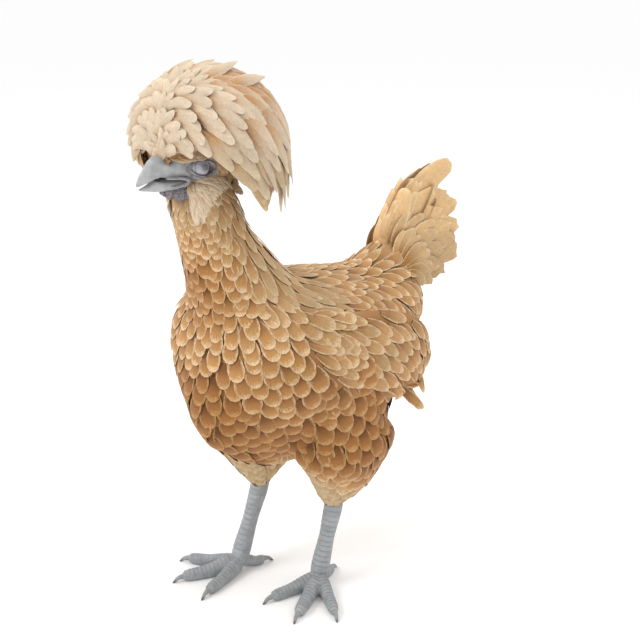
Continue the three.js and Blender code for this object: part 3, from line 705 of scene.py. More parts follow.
# %% The head's surface with lids, brow and wrinkles
side_of, width = np.sign(head[..., 0]), np.abs(head[..., 0])
flank = smooth(width, 4, 8)
round_eye = np.hypot(ahead, above)
ball = EYE[0] + np.sqrt(np.maximum((EYE_RADIUS + LID) ** 2 - round_eye**2, 0))
lidded = np.maximum(width, np.where(round_eye < EYE_RADIUS + LID, ball, 0))
lidded += 0.9 * ridge(opening, 1.12, 0.12) + 0.8 * ridge(opening, 1.5, 0.14)
lidded -= 0.5 * ridge(opening, 1.31, 0.1)
lidded = np.where(opening < 1, EYE[0] + 2.0, lidded)
brow = ridge(above - 8.5 - 0.1 * ahead, 0, 2.6) * smooth(ahead, -24, -14) * (1 - smooth(ahead, 12, 20))
lidded += 2.6 * brow
gathers = np.sin(ahead * 1.9 + above * 0.8) * np.sin(above * 1.5 - ahead * 0.5)
lidded += 0.12 * gathers * smooth(opening, 1.1, 1.6) * (1 - smooth(opening, 3.0, 4.2))
head[..., 0] = side_of * (width * (1 - flank) + lidded * flank)
head_points, head_faces = tube(head)

# %% Where the face is bare, and the painted shade in its creases and at the corner of the mouth
crease_shade = ridge(opening, 1.02, 0.09) + 0.8 * ridge(opening, 1.31, 0.09)
mouth_corner_shade = np.exp(-((head[..., 1] + 88) / 5) ** 2 - ((head[..., 2] - 361) / 4) ** 2)
# a low tone darkens the bare skin: painted shade in the lid creases and at the corner of the mouth
head_lit = (1 - 0.8 * np.clip(crease_shade + 0.8 * mouth_corner_shade, 0, 1)).ravel()
head_lit = np.resize(head_lit, len(head_points))  # one row off, as each closed end has a single point
off_cheek = np.hypot((head_points[:, 1] + 88) / 22, (head_points[:, 2] - 368) / 13)
head_bare = 1 - smooth(off_cheek, 0.75, 1.1)
head_tone_and_shade = head_bare * head_lit + (1 - head_bare) * 0.8
print("head:", len(head_points), "points")

# %% The lip round the corner of the mouth: x, y, z and radius
LIP = np.array([[7.4, -107, 366.0, 0.5], [8.8, -101, 365.6, 0.9], [10.2, -95, 365.2, 1.2],
                [11.3, -91, 364.2, 1.4], [11.5, -89.6, 362.4, 1.4], [10.6, -92, 360.6, 1.3],
                [9.4, -96.5, 359.8, 1.1], [7.8, -103, 359.7, 0.5]])


def cord(table, side, rings=70, around=16):
    """A round cord through points x, y, z with a radius each; its cross-sections turn with the path, and the
    radius grows from 0 over the first and last three rings as a square root."""
    path = rows_at(table, np.linspace(0, len(table) - 1, rings))
    for _ in range(5):
        path[1:-1] = (path[:-2] + 2 * path[1:-1] + path[2:]) / 4
    path[:, 0] *= side
    heading = unit(np.gradient(path[:, :3], axis=0))
    across = unit(np.cross(heading, np.array([side, 0.0, 0.0])))
    turn = np.linspace(0, 2 * np.pi, around, endpoint=False)[None, :, None] * side
    from_end = np.minimum(np.arange(rings), np.arange(rings)[::-1])
    radius = (path[:, 3] * np.sqrt(np.clip(from_end / 3, 0, 1)))[:, None, None]
    ring = across[:, None] * np.cos(turn) + np.cross(heading, across)[:, None] * np.sin(turn)
    return path[:, None, :3] + ring * radius


lips = [tube(cord(LIP, side)) for side in SIDES.values()]
print("lips:", [len(lip[0]) for lip in lips])

# %% Skin in one piece, with its unwrap
UNDER_CREST = 1.0  # tones of the skin
LIP_TONE = 0.85

body_part = (skin_points, [skin_quads, np.empty((0, 3), int)])
points, (quads, caps) = join([body_part, (head_points, head_faces), *lips])
normals = corner_normals(points, quads)
lip_count = len(points) - len(skin_points) - len(head_points)
shell_tone = np.where(np.isin(part_of(skin_points), ("crest", "forehead")), UNDER_CREST,
                      np.clip(lie_at(skin_points)["tone"], 0, 1))
skin = mesh_object("Skin", points, [quads, caps], skin_finish, values={
    "bare": np.concatenate([np.zeros(len(skin_points)), head_bare, np.ones(lip_count)]),
    "tone": np.concatenate([shell_tone, head_tone_and_shade, np.full(lip_count, LIP_TONE)])})
bpy.context.view_layer.objects.active = skin
skin.select_set(True)
skin.data.uv_layers.new(name="OFBake")
bpy.ops.object.mode_set(mode="EDIT")
bpy.ops.mesh.select_all(action="SELECT")
bpy.ops.uv.smart_project(angle_limit=math.radians(66), island_margin=0.002)
bpy.ops.object.mode_set(mode="OBJECT")
place_piece(skin, "buff_plumage", "torso", "neck", "head", "thigh_left", "thigh_right")

# %% Finding the skin below a point
skin_tree = BVHTree.FromPolygons(points.tolist(), quads.tolist() + caps.tolist())
quad_tree = BVHTree.FromPolygons(points.tolist(), quads.tolist())
face_start = np.array([polygon.loop_start for polygon in skin.data.polygons])
flat_uv = np.empty(len(skin.data.loops) * 2, np.float32)
skin.data.uv_layers["OFBake"].data.foreach_get("uv", flat_uv)
flat_uv = flat_uv.reshape(-1, 2)


def below(places):
    """The nearest points on the skin, and the normals there, as a mean of the quad's corners by nearness."""
    found = [quad_tree.find_nearest(place) for place in places]
    at = np.array([hit[0] for hit in found])
    corners = quads[[hit[2] for hit in found]]
    near = 1 / (np.linalg.norm(points[corners] - at[:, None], axis=-1, keepdims=True) + 0.3) ** 2
    return at, unit((normals[corners] * near).sum(1))


def unwrapped(places):
    """Each place's spot on the unwrap of the skin."""
    spots = []
    for place in places:
        at, _, index, _ = skin_tree.find_nearest(place)
        polygon = skin.data.polygons[index]
        weights = interpolate.poly_3d_calc([Vector(points[i]) for i in polygon.vertices], at)
        first = face_start[index]
        spots.append(np.array(weights) @ flat_uv[first:first + len(polygon.vertices)])
    return np.array(spots)


# %% [markdown]
# ## A feather
# A vane is a thin lens of horn threads on a bent shaft, cupped over what lies below it. Particle hair can't
# be exported and a flat card has no edge, so each feather is a small closed mesh: two sheets of a few dozen
# faces that meet at the rim. All the feathers of a piece are worked out in one array.


# %% The outline and the faces of a vane
def swell(u, stem, widest, end):
    """A vane's half width along its shaft: from stem to 1 at widest as sin^0.9, and on to end as cos^0.8."""
    rising = stem + (1 - stem) * np.sin(np.pi / 2 * np.minimum(u / widest, 1)) ** 0.9
    falling = end + (1 - end) * np.cos(np.pi / 2 * np.clip((u - widest) / (1 - widest), 0, 1)) ** 0.8
    return np.where(u < widest, rising, falling)


def vane_faces(rows, cols):
    """Faces of one vane: an upper sheet, and a lower sheet that shares its rim."""
    upper = np.arange(rows * cols).reshape(rows, cols)
    lower = upper.copy()
    lower[1:-1, 1:-1] = rows * cols + np.arange((rows - 2) * (cols - 2)).reshape(rows - 2, cols - 2)
    over, under = (np.stack([g[:-1, :-1], g[1:, :-1], g[1:, 1:], g[:-1, 1:]], -1).reshape(-1, 4)
                   for g in (upper, lower))
    return np.concatenate([over, under[:, ::-1]])


# %% Many feathers in one array
def feathers(root, bend, tip, facing, width, tone, rng, *, stem=0.3, widest=0.7, end=0.7, cup=0.16,
             thick=1.0, roll=0.0, ragged=0.0, fray=0.0, quill=0.0, dim=0.0, rows=7, cols=7):
    """Feathers from roots (n, 3) over bends to tips: p(u) = (1-u)² root + 2u(1-u) bend + u² tip. Across
    runs facing x shaft, and facing may be a pair, for root and tip. A row bows back by width / 2 * (1 -
    sqrt(1 - v²)), its edges sink by cup * width * v², and its sheets part by thick (1 - v²) sqrt(1 - u)."""
    n = len(root)
    u = np.sin(np.linspace(0, np.pi / 2, rows))[None, :, None]
    v = np.sin(np.linspace(-np.pi / 2, np.pi / 2, cols))[None, None]
    length = np.linalg.norm(tip - root, axis=1)
    width, roll, stem, widest, end = (np.broadcast_to(value, (n,))[:, None, None]
                                      for value in (width, roll, stem, widest, end))
    half = swell(u, stem, widest, end)
    half = half * (1 + ragged * rng.uniform(-1, 1, (n, rows, 1)) * (u > 0.25))
    bow = np.minimum(width / (2 * length[:, None, None]), 0.4)
    at = u * (1 - bow * (1 - np.sqrt(1 - v**2)) * u)
    at = at - ragged * 0.5 * rng.uniform(0, 1, (n, rows, cols)) * (u > 0.5) * 0.3
    at = at - fray * rng.uniform(0, 1, (n, 1, cols)) * u**4
    at = np.clip(at, 0, 1)[..., None]
    p0, p1, p2 = (point[:, None, None] for point in (root, bend, tip))
    shaft = (1 - at) ** 2 * p0 + 2 * at * (1 - at) * p1 + at**2 * p2
    heading = unit(2 * (1 - at) * (p1 - p0) + 2 * at * (p2 - p1))
    at_root, at_tip = facing if isinstance(facing, tuple) else (facing, facing)
    face = unit(at_root[:, None, None] * (1 - at) + at_tip[:, None, None] * at)
    side_way = unit(np.cross(face, heading))
    out = np.cross(heading, side_way)
    cos, sin = np.cos(roll[..., None]), np.sin(roll[..., None])
    side_way, out = side_way * cos + out * sin, out * cos - side_way * sin
    aside = v * half * (width / 2)
    lens = thick / 2 * (1 - v**2) * np.sqrt(np.maximum(1 - u, 0.04))
    middle = shaft + side_way * aside[..., None] - out * (cup * width * v**2 * half)[..., None]
    upper, lower = middle + out * lens[..., None], middle - out * lens[..., None]

    def sheets(upper, lower):
        """What the points of the upper sheet have, and then those of the lower sheet inside the rim."""
        rows = [part.reshape(n, -1, part.shape[-1]) for part in (upper, lower[:, 1:-1, 1:-1])]
        return np.concatenate(rows, 1).reshape(-1, upper.shape[-1])

    def both(*values):
        """The same for values that both sheets share."""
        value = np.stack(np.broadcast_arrays(*values, aside)[:-1], -1)
        return sheets(value, value)

    per = rows * cols + (rows - 2) * (cols - 2)
    faces = vane_faces(rows, cols)[None] + (np.arange(n) * per)[:, None, None]
    along = at[..., 0]
    each = dict(tone=tone, shade=rng.uniform(0, 1, n) - dim, quill=quill, span=length)
    return dict(points=sheets(upper, lower), uv=both(aside, (1 - along) * length[:, None, None]),
                spot=both(v / 2, along - 0.5), rim=both((1 - np.abs(v)) * half * (width / 2)).ravel(),
                faces=faces.reshape(-1, 4), root=root, per=per,
                **{name: np.repeat(np.broadcast_to(value, (n,)), per) for name, value in each.items()})


# %% A piece of the coat
BAKE_PATCH = 0.003  # size of a feather's patch on the skin's unwrap


def coat_piece(name, groups, slot, *nodes):
    """Groups of feathers as one object, each feather's patch of the bake map at its root's spot."""
    firsts = np.cumsum([0] + [len(group["points"]) for group in groups])
    faces = np.concatenate([group["faces"] + first for group, first in zip(groups, firsts)])
    points, uv, spot, *values = (np.concatenate([group[key] for group in groups])
                                 for key in ("points", "uv", "spot", *TOLD))
    root_spots = np.concatenate([np.repeat(unwrapped(group["root"]), group["per"], 0) for group in groups])
    maps = {"vane": uv, "OFBake": root_spots + spot * BAKE_PATCH}
    piece = mesh_object(name, points, [faces], plumage, maps, dict(zip(TOLD, values)), crisp=75)
    place_piece(piece, slot, *nodes)


# %% [markdown]
# ## Body feathers
# The contour feathers sit in near even rows, each over the gap between the two behind it. Rows drawn by
# hand would tear where the body curves, so places are thrown over the skin at random, thinned until none
# stands closer than the lie allows, and then each is moved to the middle of the ground it covers, a few
# times over, which brings them into rows. Each feather rises from the skin and ends at the coat's depth.


# %% Places spread over the skin
def spread_places(allowed, spacing_of, rng, draws, along=(0, 0, 1), stretch=1.0):
    """Places on the skin about spacing apart: random draws, thinned, then moved four times to the middle of
    their cells. A stretch over 1 sets them that much further apart along one direction."""
    a, b, c, d = (points[quads[:, k]] for k in range(4))
    middle = (a + b + c + d) / 4
    area = np.linalg.norm(np.cross(c - a, d - b), axis=1) / 2
    weight = np.where(allowed(middle), area / spacing_of(middle) ** 2, 0)
    chosen = rng.choice(len(middle), draws, p=weight / weight.sum())
    s, t = rng.uniform(0, 1, (2, draws, 1))
    a, b, c, d = (corner[chosen] for corner in (a, b, c, d))
    drawn = (a * (1 - s) + b * s) * (1 - t) + (d * (1 - s) + c * s) * t
    spacing = spacing_of(drawn)
    line = unit(np.array(along, float))
    pressed = drawn @ (np.eye(3) - (1 - 1 / stretch) * np.outer(line, line))
    tree = tree_of(pressed)
    alive, kept = np.ones(draws, bool), []
    for i in range(draws):
        if alive[i]:
            kept.append(i)
            alive[[hit[1] for hit in tree.find_range(pressed[i], spacing[i])]] = False
    for _ in range(4):
        cells = tree_of(pressed[kept])
        owner = np.array([cells.find(place)[1] for place in pressed])
        count = np.bincount(owner, minlength=len(kept))
        mean = np.stack([np.bincount(owner, pressed[:, k], len(kept)) for k in range(3)], 1)
        mean = mean / np.maximum(count, 1)[:, None]
        kept = [tree.find(place)[1] for place in mean]
    return drawn[kept]


def lies_flat(places, table=LIE):
    """True where the lie runs along the skin, and not into or out of it."""
    _, normal = below(places)
    return np.abs((lie_at(places, table)["direction"] * normal).sum(1)) < 0.88


# %% Feathers laid along the skin
def contour(places, rng, table=LIE, free=9.0, **shape):
    """Feathers at places on the skin, along the lie: root on the skin, middle and tip over it by the depth.
    The free half follows the skin round a bend, but an end that would lie further than free from the skin
    hangs where the lie takes it."""
    lie = lie_at(places, table)
    root, normal = below(places)
    yaw = np.radians(rng.normal(0, 5, len(places)))[:, None]
    way = unit(lie["direction"] - normal * (lie["direction"] * normal).sum(1, keepdims=True))
    way = way * np.cos(yaw) + np.cross(normal, way) * np.sin(yaw)
    length = (lie["length"] * rng.uniform(0.92, 1.08, len(places)))[:, None]
    depth = lie["depth"][:, None]

    def laid(start, facing, way, reach):
        """The point reach further along the skin, or through the air past its edge, and the facing there."""
        aim = start + way * reach - facing * reach * 0.06
        at, turned = below(aim)
        gone = np.clip((np.linalg.norm(at - aim, axis=1, keepdims=True) - free) / 3, 0, 1)
        return at * (1 - gone) + aim * gone, unit(turned * (1 - gone) + facing * gone)

    half_at, half_normal = laid(root, normal, way, length * 0.5)
    onward = unit(way - half_normal * (way * half_normal).sum(1, keepdims=True))
    end_at, end_normal = laid(half_at, half_normal, onward, length * 0.5)
    middle = half_at + half_normal * depth * 0.75
    tip = end_at + end_normal * depth * rng.uniform(0.85, 1.1, len(places))[:, None]
    start_at = root + normal * 0.3
    bend = 2 * middle - (start_at + tip) / 2
    width = lie["width"] * rng.uniform(0.94, 1.08, len(places))
    tone = np.clip(lie["tone"] + rng.normal(0, 0.08, len(places)), -1, 0.85)
    return feathers(start_at, bend, tip, (normal, end_normal), width, tone, rng,
                    roll=np.radians(rng.normal(0, 3, len(places))), **shape)


# %% Where the body's feathers grow
rng = np.random.default_rng(11)


def feathered(places):
    """True on the skin that carries contour feathers: not on the face, nor on what lies inside the head."""
    x, y, z = places.T
    face = ((y + 90) / 21) ** 2 + ((z - 369) / 13) ** 2 < 1
    part = part_of(places)
    inside = (part != "head") & ((x / 17) ** 2 + ((z - 373) / 18) ** 2 < 1) & (y > -104) & (y < -38)
    covered = np.isin(part, FEATHERED + ("tail", "muff_left", "muff_right", "head"))
    return covered & ~face & ~inside & (z > 74) & (z < 378)


def tract_of(places):
    """0 on breast and belly, 1 on the sides and back of the neck, 2 on back and saddle."""
    y, z = places[:, 1], places[:, 2]
    hackle = (z > 262) & (y > -63 + (314 - z) * 0.44) & (y < 12)
    saddle = (z > 236 - 0.1 * y) & (y >= 0) & ~hackle
    return np.where(hackle, 1, np.where(saddle, 2, 0))


TRACTS = [(0.64, dict(draws=36000)),  # a feather's spacing as a share of its width, and how they are spread
          (0.72, dict(draws=9000, along=(0, 0.6, -0.8), stretch=1.9)),
          (0.66, dict(draws=9000, along=(0, 1, -0.2), stretch=1.6))]
body_places = np.concatenate([
    spread_places(lambda p: feathered(p) & (tract_of(p) == number), lambda p: lie_at(p)["width"] * gap,
                  rng, **how) for number, (gap, how) in enumerate(TRACTS)])
print("body feathers:", len(body_places))

# %% The coat's two halves
for name, side in SIDES.items():
    own = body_places[(body_places[:, 0] * side >= 0) & lies_flat(body_places)]
    vane_end = np.where(tract_of(own) == 0, 0.92, 0.6) - 0.3 * smooth(own[:, 2], 325, 345)
    hold = np.where(own[:, 2:] > 285, 2.0, 9.0)
    coat = contour(own, rng, free=hold, widest=0.7, end=vane_end, stem=0.5, cup=0.04, thick=0.6)
    coat_piece("Coat_" + name, [coat], "buff_plumage")

# %% [markdown]
# ## Crest
# The crest is what names the breed: a dome of feathers that part at the root of the bill and sweep back and
# down on all sides, short and rounded over the bill, long and narrow at the back. They are set in tiers
# round the pole of an ellipsoid, as the solids have them, only far closer and in two layers. A few are set
# singly, over the parting, at the nape and as loose tufts at the rim.


# %% A dome of feathers
def dome(base, side, tips, turn, length, root_share, width, tone, rng, *, fall=0.0, droop=0.0, rise=1.0,
         over=1.0, **shape):
    """Feathers over an ellipsoid, from the angles of their tips off its pole and turns round it, in degrees.
    Each runs back from its tip against the flow, half of its length twice: away from the pole, plus fall
    times the way down the slope. It leaves the ellipsoid root_share and ends on over, let down by droop."""
    middle, reach = base["middle"] * np.array([side, 1, 1.0]), base["reach"]
    front = unit(base["pole"] * np.array([side, 1, 1.0]))
    lateral = unit(np.array([side, 0, 0.0]) - front * side * front[0])
    top = np.cross(front, lateral) * side
    turn, length = (np.broadcast_to(value, len(tips)) for value in (turn, length))
    angle, turned, length = np.radians(tips)[:, None], np.radians(turn)[:, None], length[:, None]
    ray = front * np.cos(angle) + (top * np.cos(turned) + lateral * np.sin(turned)) * np.sin(angle)

    def onto(places, share):
        """Places moved along their rays from the middle onto the ellipsoid of a share."""
        size = np.linalg.norm((places - middle) / reach, axis=1, keepdims=True)
        return middle + (places - middle) / size * np.broadcast_to(share, len(places))[:, None]

    def flow(places):
        """The way of the feathers over the dome, and the dome's normal."""
        normal = unit((places - middle) / reach**2)
        away = unit(normal * (normal @ front)[:, None] - front)
        down = normal * normal[:, 2:] - np.array([0, 0, 1.0])
        off_pole = np.degrees(np.arccos(np.clip(unit(places - middle) @ front, -1, 1)))
        return unit(away + down * fall * smooth(off_pole, 12, 60)[:, None]), normal

    tip = onto(middle + ray, over * rng.uniform(0.98, 1.02, len(tips)))
    way, tip_normal = flow(tip)
    half = onto(tip - way * length / 2, (over + root_share) / 2 * rise)
    half_way, _ = flow(half)
    way = np.where((half_way * way).sum(1, keepdims=True) < 0, -half_way, half_way)
    root = onto(half - way * length / 2, root_share)
    tip[:, 2] -= droop * np.sin(np.radians(np.minimum(turn, 90))) * smooth(tips, 60, 110)
    bend = 2 * half - (tip + root) / 2
    return feathers(root, bend, tip, (flow(root)[1], tip_normal), width, tone, rng, **shape)


def tiers(steps, gap_of, low, high, rng):
    """Angles and turns of staggered tiers, from the turn low to high(angle), about gap_of(angle) apart."""
    angles, turns = [], []
    for i, angle in enumerate(steps):
        gap = gap_of(angle)
        row = np.linspace(low, high(angle), 1 + max(round((high(angle) - low) / gap), 1))
        if i % 2:
            row = np.append((row[:-1] + row[1:]) / 2, row[-1])
        angles.append(np.full(len(row), angle) + rng.normal(0, 2.0, len(row)))
        turns.append(row + rng.normal(0, gap * 0.12, len(row)))
    return np.concatenate(angles), np.concatenate(turns)


# %% The crest's measures, by the angle off its pole
CREST = dict(middle=np.array([0, -60.0, 389]), reach=np.array([66.0, 50, 52]),
             pole=np.array([0, -1.0, -0.12]))
CREST_TIERS = [6, 14, 24, 35, 48, 62, 76, 90, 104, 118, 132, 146, 159, 171]
CREST_LOW = ([3, 8, 15, 24, 35, 48, 62, 76, 90, 104, 118, 132, 146],
             [12, 24, 58, 82, 94, 92, 101, 114, 123, 132, 150, 172, 179])  # the turn at which a tier ends
CREST_WIDTH = ([3, 8, 20, 40, 70, 150], [6.5, 7.5, 9.5, 10.5, 10.5, 12.5])
CREST_LENGTH = ([3, 8, 20, 40, 70, 100, 150], [7, 11, 24, 33, 40, 44, 46])
CREST_VANE = dict(stem=0.4, widest=0.6, cup=0.2, thick=2.0, rows=8)
TUFT_VANE = dict(stem=0.4, end=0.4, cup=0.16, thick=1.6)


def crest_layer(side, share, steps, rng):
    """One side's tiers on a share of the crest's ellipsoid. The gap is 0.88 * width over the radius of the
    ring, 54 * sin(angle), and the right side's tiers between 40 and 110 degrees end 12 degrees lower."""
    gap_of = lambda a: np.degrees(np.interp(a, *CREST_WIDTH) * 0.88 / (54 * np.sin(np.radians(a))))
    low_rim = lambda a: np.interp(a, *CREST_LOW) + (side < 0) * 12 * (40 < a < 110)
    angle, turn = tiers(steps, gap_of, 3.0, low_rim, rng)
    count = len(angle)
    upward = np.maximum(np.cos(np.radians(turn)), 0) * smooth(angle, 8, 20) * (1 - smooth(angle, 20, 70))
    length = np.interp(angle, *CREST_LENGTH) * (1 + 0.35 * upward)
    long = length * rng.uniform(0.9, 1.1, count)
    width = np.interp(angle, *CREST_WIDTH) * rng.uniform(0.9, 1.12, count)
    # lower feathers at the back of the dome turn darker tan, partly at random: painted shade under its
    # hanging rear
    tone = 2 - 1.3 * smooth(turn, 85, 125) * rng.uniform(0.3, 1, count)
    return dome(CREST, side, angle, turn, long, share * (1 - 0.0028 * length), width, tone, rng, fall=1.2,
                droop=14.0, over=share, rise=1.01, end=0.72 - 0.2 * smooth(angle, 30, 100),
                roll=np.radians(rng.normal(0, 4, count)), **CREST_VANE)


# %% All the feathers of the dome
crest = []
for side in SIDES.values():
    crest += [crest_layer(side, 0.86, CREST_TIERS[2::2], rng), crest_layer(side, 1.0, CREST_TIERS, rng)]
    if side > 0:
        parting = dome(CREST, side, np.array([9.0, 15, 23, 33]), np.array([-8, 6, -6, 4.0]),
                       np.array([10.0, 16, 24, 34]), 0.95, 9.5, 2.0, rng, over=1.01, end=0.7, **CREST_VANE)
        nape = dome(CREST, side, np.array([144.0, 153, 162]), 180.0, 42.0, 0.84, 13.0, 1.5, rng, fall=1.2,
                    over=0.95, end=0.5, **dict(CREST_VANE, thick=1.6))
        crest += [parting, nape]
    angle, turn = rng.uniform(88, 118, 6), rng.uniform(100, 126, 6)
    loose = dome(CREST, side, angle, turn, 44.0, 0.88, rng.uniform(10, 12, 6), rng.uniform(1.2, 1.9, 6), rng,
                 fall=1.5, droop=24.0, widest=0.5, roll=np.radians(rng.normal(0, 9, 6)), **TUFT_VANE)
    on_top = dome(CREST, side, np.array([104.0, 113]), np.array([24.0, 44]), 44.0, 0.92,
                  rng.uniform(10, 12, 2), 2.0, rng, over=1.05, rise=0.99, widest=0.6,
                  roll=np.radians(rng.normal(0, 6, 2)), **TUFT_VANE)
    crest += [loose, on_top]
print("feathers of the dome:", sum(len(group["root"]) for group in crest))

# %% [markdown]
# ## Brow
# Over the eyes the crest ends in a fringe of small feathers that lie back and outward from the base of the
# bill. The dome's tiers would be too coarse there, so four short rows follow an edge from the bill to
# behind the eye, each a little higher and further in, with their roots inside the dome.

# %% Rows along the brow, and the whole crest
BROW_EDGE = np.array([[2, -104, 386], [7, -102, 384], [11, -99, 380.5], [14, -95, 377], [17.5, -88, 377],
                      [19.5, -80, 378], [20, -73, 379]])
# how far up and in a row lies, its count, and the width of its feathers
BROW_ROWS = [(0, 0, 15, 3.6), (1.8, 0.4, 14, 4), (3.6, 0.9, 13, 4.6), (5.6, 1.4, 12, 5)]


def brow_row(side, lift, inward, count, width, rng):
    """One row: tips along the edge, each feather running back, outward and down from its root."""
    ends = len(BROW_EDGE) - 1
    along = np.linspace(1.2 + 0.12 * lift, ends, count) + rng.uniform(-0.1, 0.1, count)
    tip = rows_at(BROW_EDGE, along)
    tip = (tip + np.array([-inward, 0, lift]) + rng.uniform(-0.4, 0.4, (count, 3))) * np.array([side, 1, 1])
    share = along / ends
    way = unit(np.stack([side * (0.45 - 0.3 * share), 0.85 + 0.1 * share, -0.3 + 0 * share], 1))
    facing = unit(np.stack([side * (0.7 + 0.2 * share), -0.5 + 0.3 * share, 0.4 + 0 * share], 1))
    long = rng.uniform(7.5, 9.5, count)[:, None] + lift * 0.3
    root = tip - way * long - facing * 1.8 - CREST["middle"]
    size = np.linalg.norm(root / CREST["reach"], axis=1, keepdims=True)
    root = CREST["middle"] + root * np.minimum(1, 0.9 / size)
    return feathers(root, tip - way * long * 0.45, tip, facing, width * rng.uniform(0.9, 1.15, count), 1.7,
                    rng, stem=0.5, widest=0.6, end=0.5, cup=0.15, thick=0.8)


crest += [brow_row(side, *row, rng) for side in SIDES.values() for row in BROW_ROWS]
coat_piece("Crest", crest, "cream_plumage", "crest_left", "crest_right")
print("crest feathers:", sum(len(group["root"]) for group in crest))

# %% [markdown]
# ## Muffs
# Under each eye a hen of this breed has a muff, a soft bunch of fine, short feathers that hides the side of
# the throat. It is a small dome too, round a pole that looks forward and up, with narrow wisps instead of
# vanes.

# %% Muffs
MUFF = dict(middle=np.array([9.5, -70, 346]), reach=np.array([11.5, 22, 23]),
            pole=np.array([0.2, -0.7, 0.7]))

for name, side in SIDES.items():
    angle, turn = tiers(np.linspace(18, 150, 15), lambda a: 12.0 / max(np.sin(np.radians(a)), 0.3), 8.0,
                        lambda a: 172.0, rng)
    count = len(angle)
    width, tone = rng.uniform(4, 6.5, count), rng.uniform(1.7, 2.3, count)
    # dim -1.2 lightens the wisps: painted light against the shade that the crest casts over the muffs
    wisps = dome(MUFF, side, angle, turn, 20.0, 0.84, width, tone, rng, fall=0.4, droop=5.0, dim=-1.2,
                 stem=0.5, widest=0.5, end=0.25, cup=0.1, thick=0.8, ragged=0.08,
                 roll=np.radians(rng.normal(0, 10, count)))
    coat_piece("Muff_" + name, [wisps], "cream_plumage", "muff_" + name)

# %% [markdown]
# ## Wings
# A folded wing is a flat pad of feathers that point back and down, and turn down more and more towards its
# round rear end. They are spread over the skin of the wing as the body's are, with a lie of their own, and
# a row of longer flight feathers runs along the lower edge and hangs free over the flank.

# %% The lie of the wing
WING_LIE = np.array([
    [62, -22, 250, 0.1, 0.85, -0.5, 24, 9, 2.8, 0.2],
    [72, 20, 248, 0, 0.85, -0.5, 30, 10.5, 2.8, 0.35],
    [78, 30, 222, 0, 0.78, -0.62, 30, 11.5, 2.8, 0.3],
    [74, 35, 195, 0, 0.8, -0.6, 34, 11, 2.8, 0.1],
    [76, 75, 235, 0, 0.66, -0.72, 26, 10.5, 2.8, 0.2],
    [78, 80, 205, 0, 0.55, -0.8, 26, 11, 2.8, 0.1],
    [72, 70, 180, 0, 0.6, -0.8, 32, 11, 2.8, 0.1],
    [70, 108, 215, 0, 0.4, -0.9, 24, 10.5, 2.8, 0.1],
    [68, 108, 190, 0, 0.2, -0.95, 24, 10.5, 2.8, 0.1],
])


# %% Flight feathers along the lower edge
def flight_row(side, rng, count=9):
    """A row of long feathers: tips on a curve back along the wing, each on a way 36 to 76 degrees down."""
    sweep = np.linspace(0, 1, count)
    back, height = (np.interp(sweep, [0, 0.55, 1], stops) for stops in ([14, 74, 112], [209, 172, 178]))
    tip = np.stack([side * (74 - 11 * sweep), back, height], 1)
    slope = np.radians(36 + 40 * smooth(sweep, 0.4, 1.0))
    way, long = np.stack([0 * sweep, np.cos(slope), -np.sin(slope)], 1), (42 - 12 * sweep)[:, None]
    out = np.array([side, 0, 0.0])
    return feathers(tip - way * long - out * 4, tip - way * long * 0.5 + out * 1, tip - out * 2,
                    np.tile(out, (count, 1)), 11.0, 0.4, rng, stem=0.5, widest=0.6, end=0.4, cup=0.08,
                    ragged=0.05, quill=0.6)


# %% Folded wings
for name, side in SIDES.items():
    table = WING_LIE * np.r_[side, 1, 1, side, np.ones(6)]
    wing_places = spread_places(lambda p: part_of(p) == "wing_" + name,
                                lambda p: lie_at(p, table)["width"] * 0.74, rng, draws=9000,
                                along=(0, 0.7, -0.7), stretch=1.7)
    wing_places = wing_places[lies_flat(wing_places, table)]
    covers = contour(wing_places, rng, table, free=3.0, widest=0.6, end=0.6, stem=0.45, cup=0.06, thick=0.9,
                     ragged=0.03, quill=0.25)
    coat_piece("Wing_" + name, [flight_row(side, rng), covers], "buff_plumage", "wing_" + name)

# %% [markdown]
# ## Tail
# The tail stands up as two fans, set like the slopes of a tent, of broad feathers with round, frayed ends.
# They fan out from one root in tiers, the covers shorter and further out, with one long curved feather a
# side. A roof of feathers over the ridge and a lining behind close the tent. The angles and lengths are
# those of the solids, with more feathers between them.

# %% The two fans
TAIL_ROOT = np.array([0, 136.0, 254])
TAIL = [dict(first=55, last=-6, lengths=[108, 117, 112, 108, 104, 94, 74], count=8, width=29, level=0,
             arch=20),
        dict(first=60, last=-10, lengths=[78, 88, 90, 84, 62], count=7, width=24, level=1.0, arch=14),
        dict(first=66, last=-16, lengths=[56, 66, 66, 52], count=7, width=18, level=2.0, arch=10),
        dict(first=72, last=-24, lengths=[36, 46, 46, 36], count=8, width=14, level=2.8, arch=6),
        dict(first=48, last=48, lengths=[124], count=1, width=24, level=0.6, arch=28)]


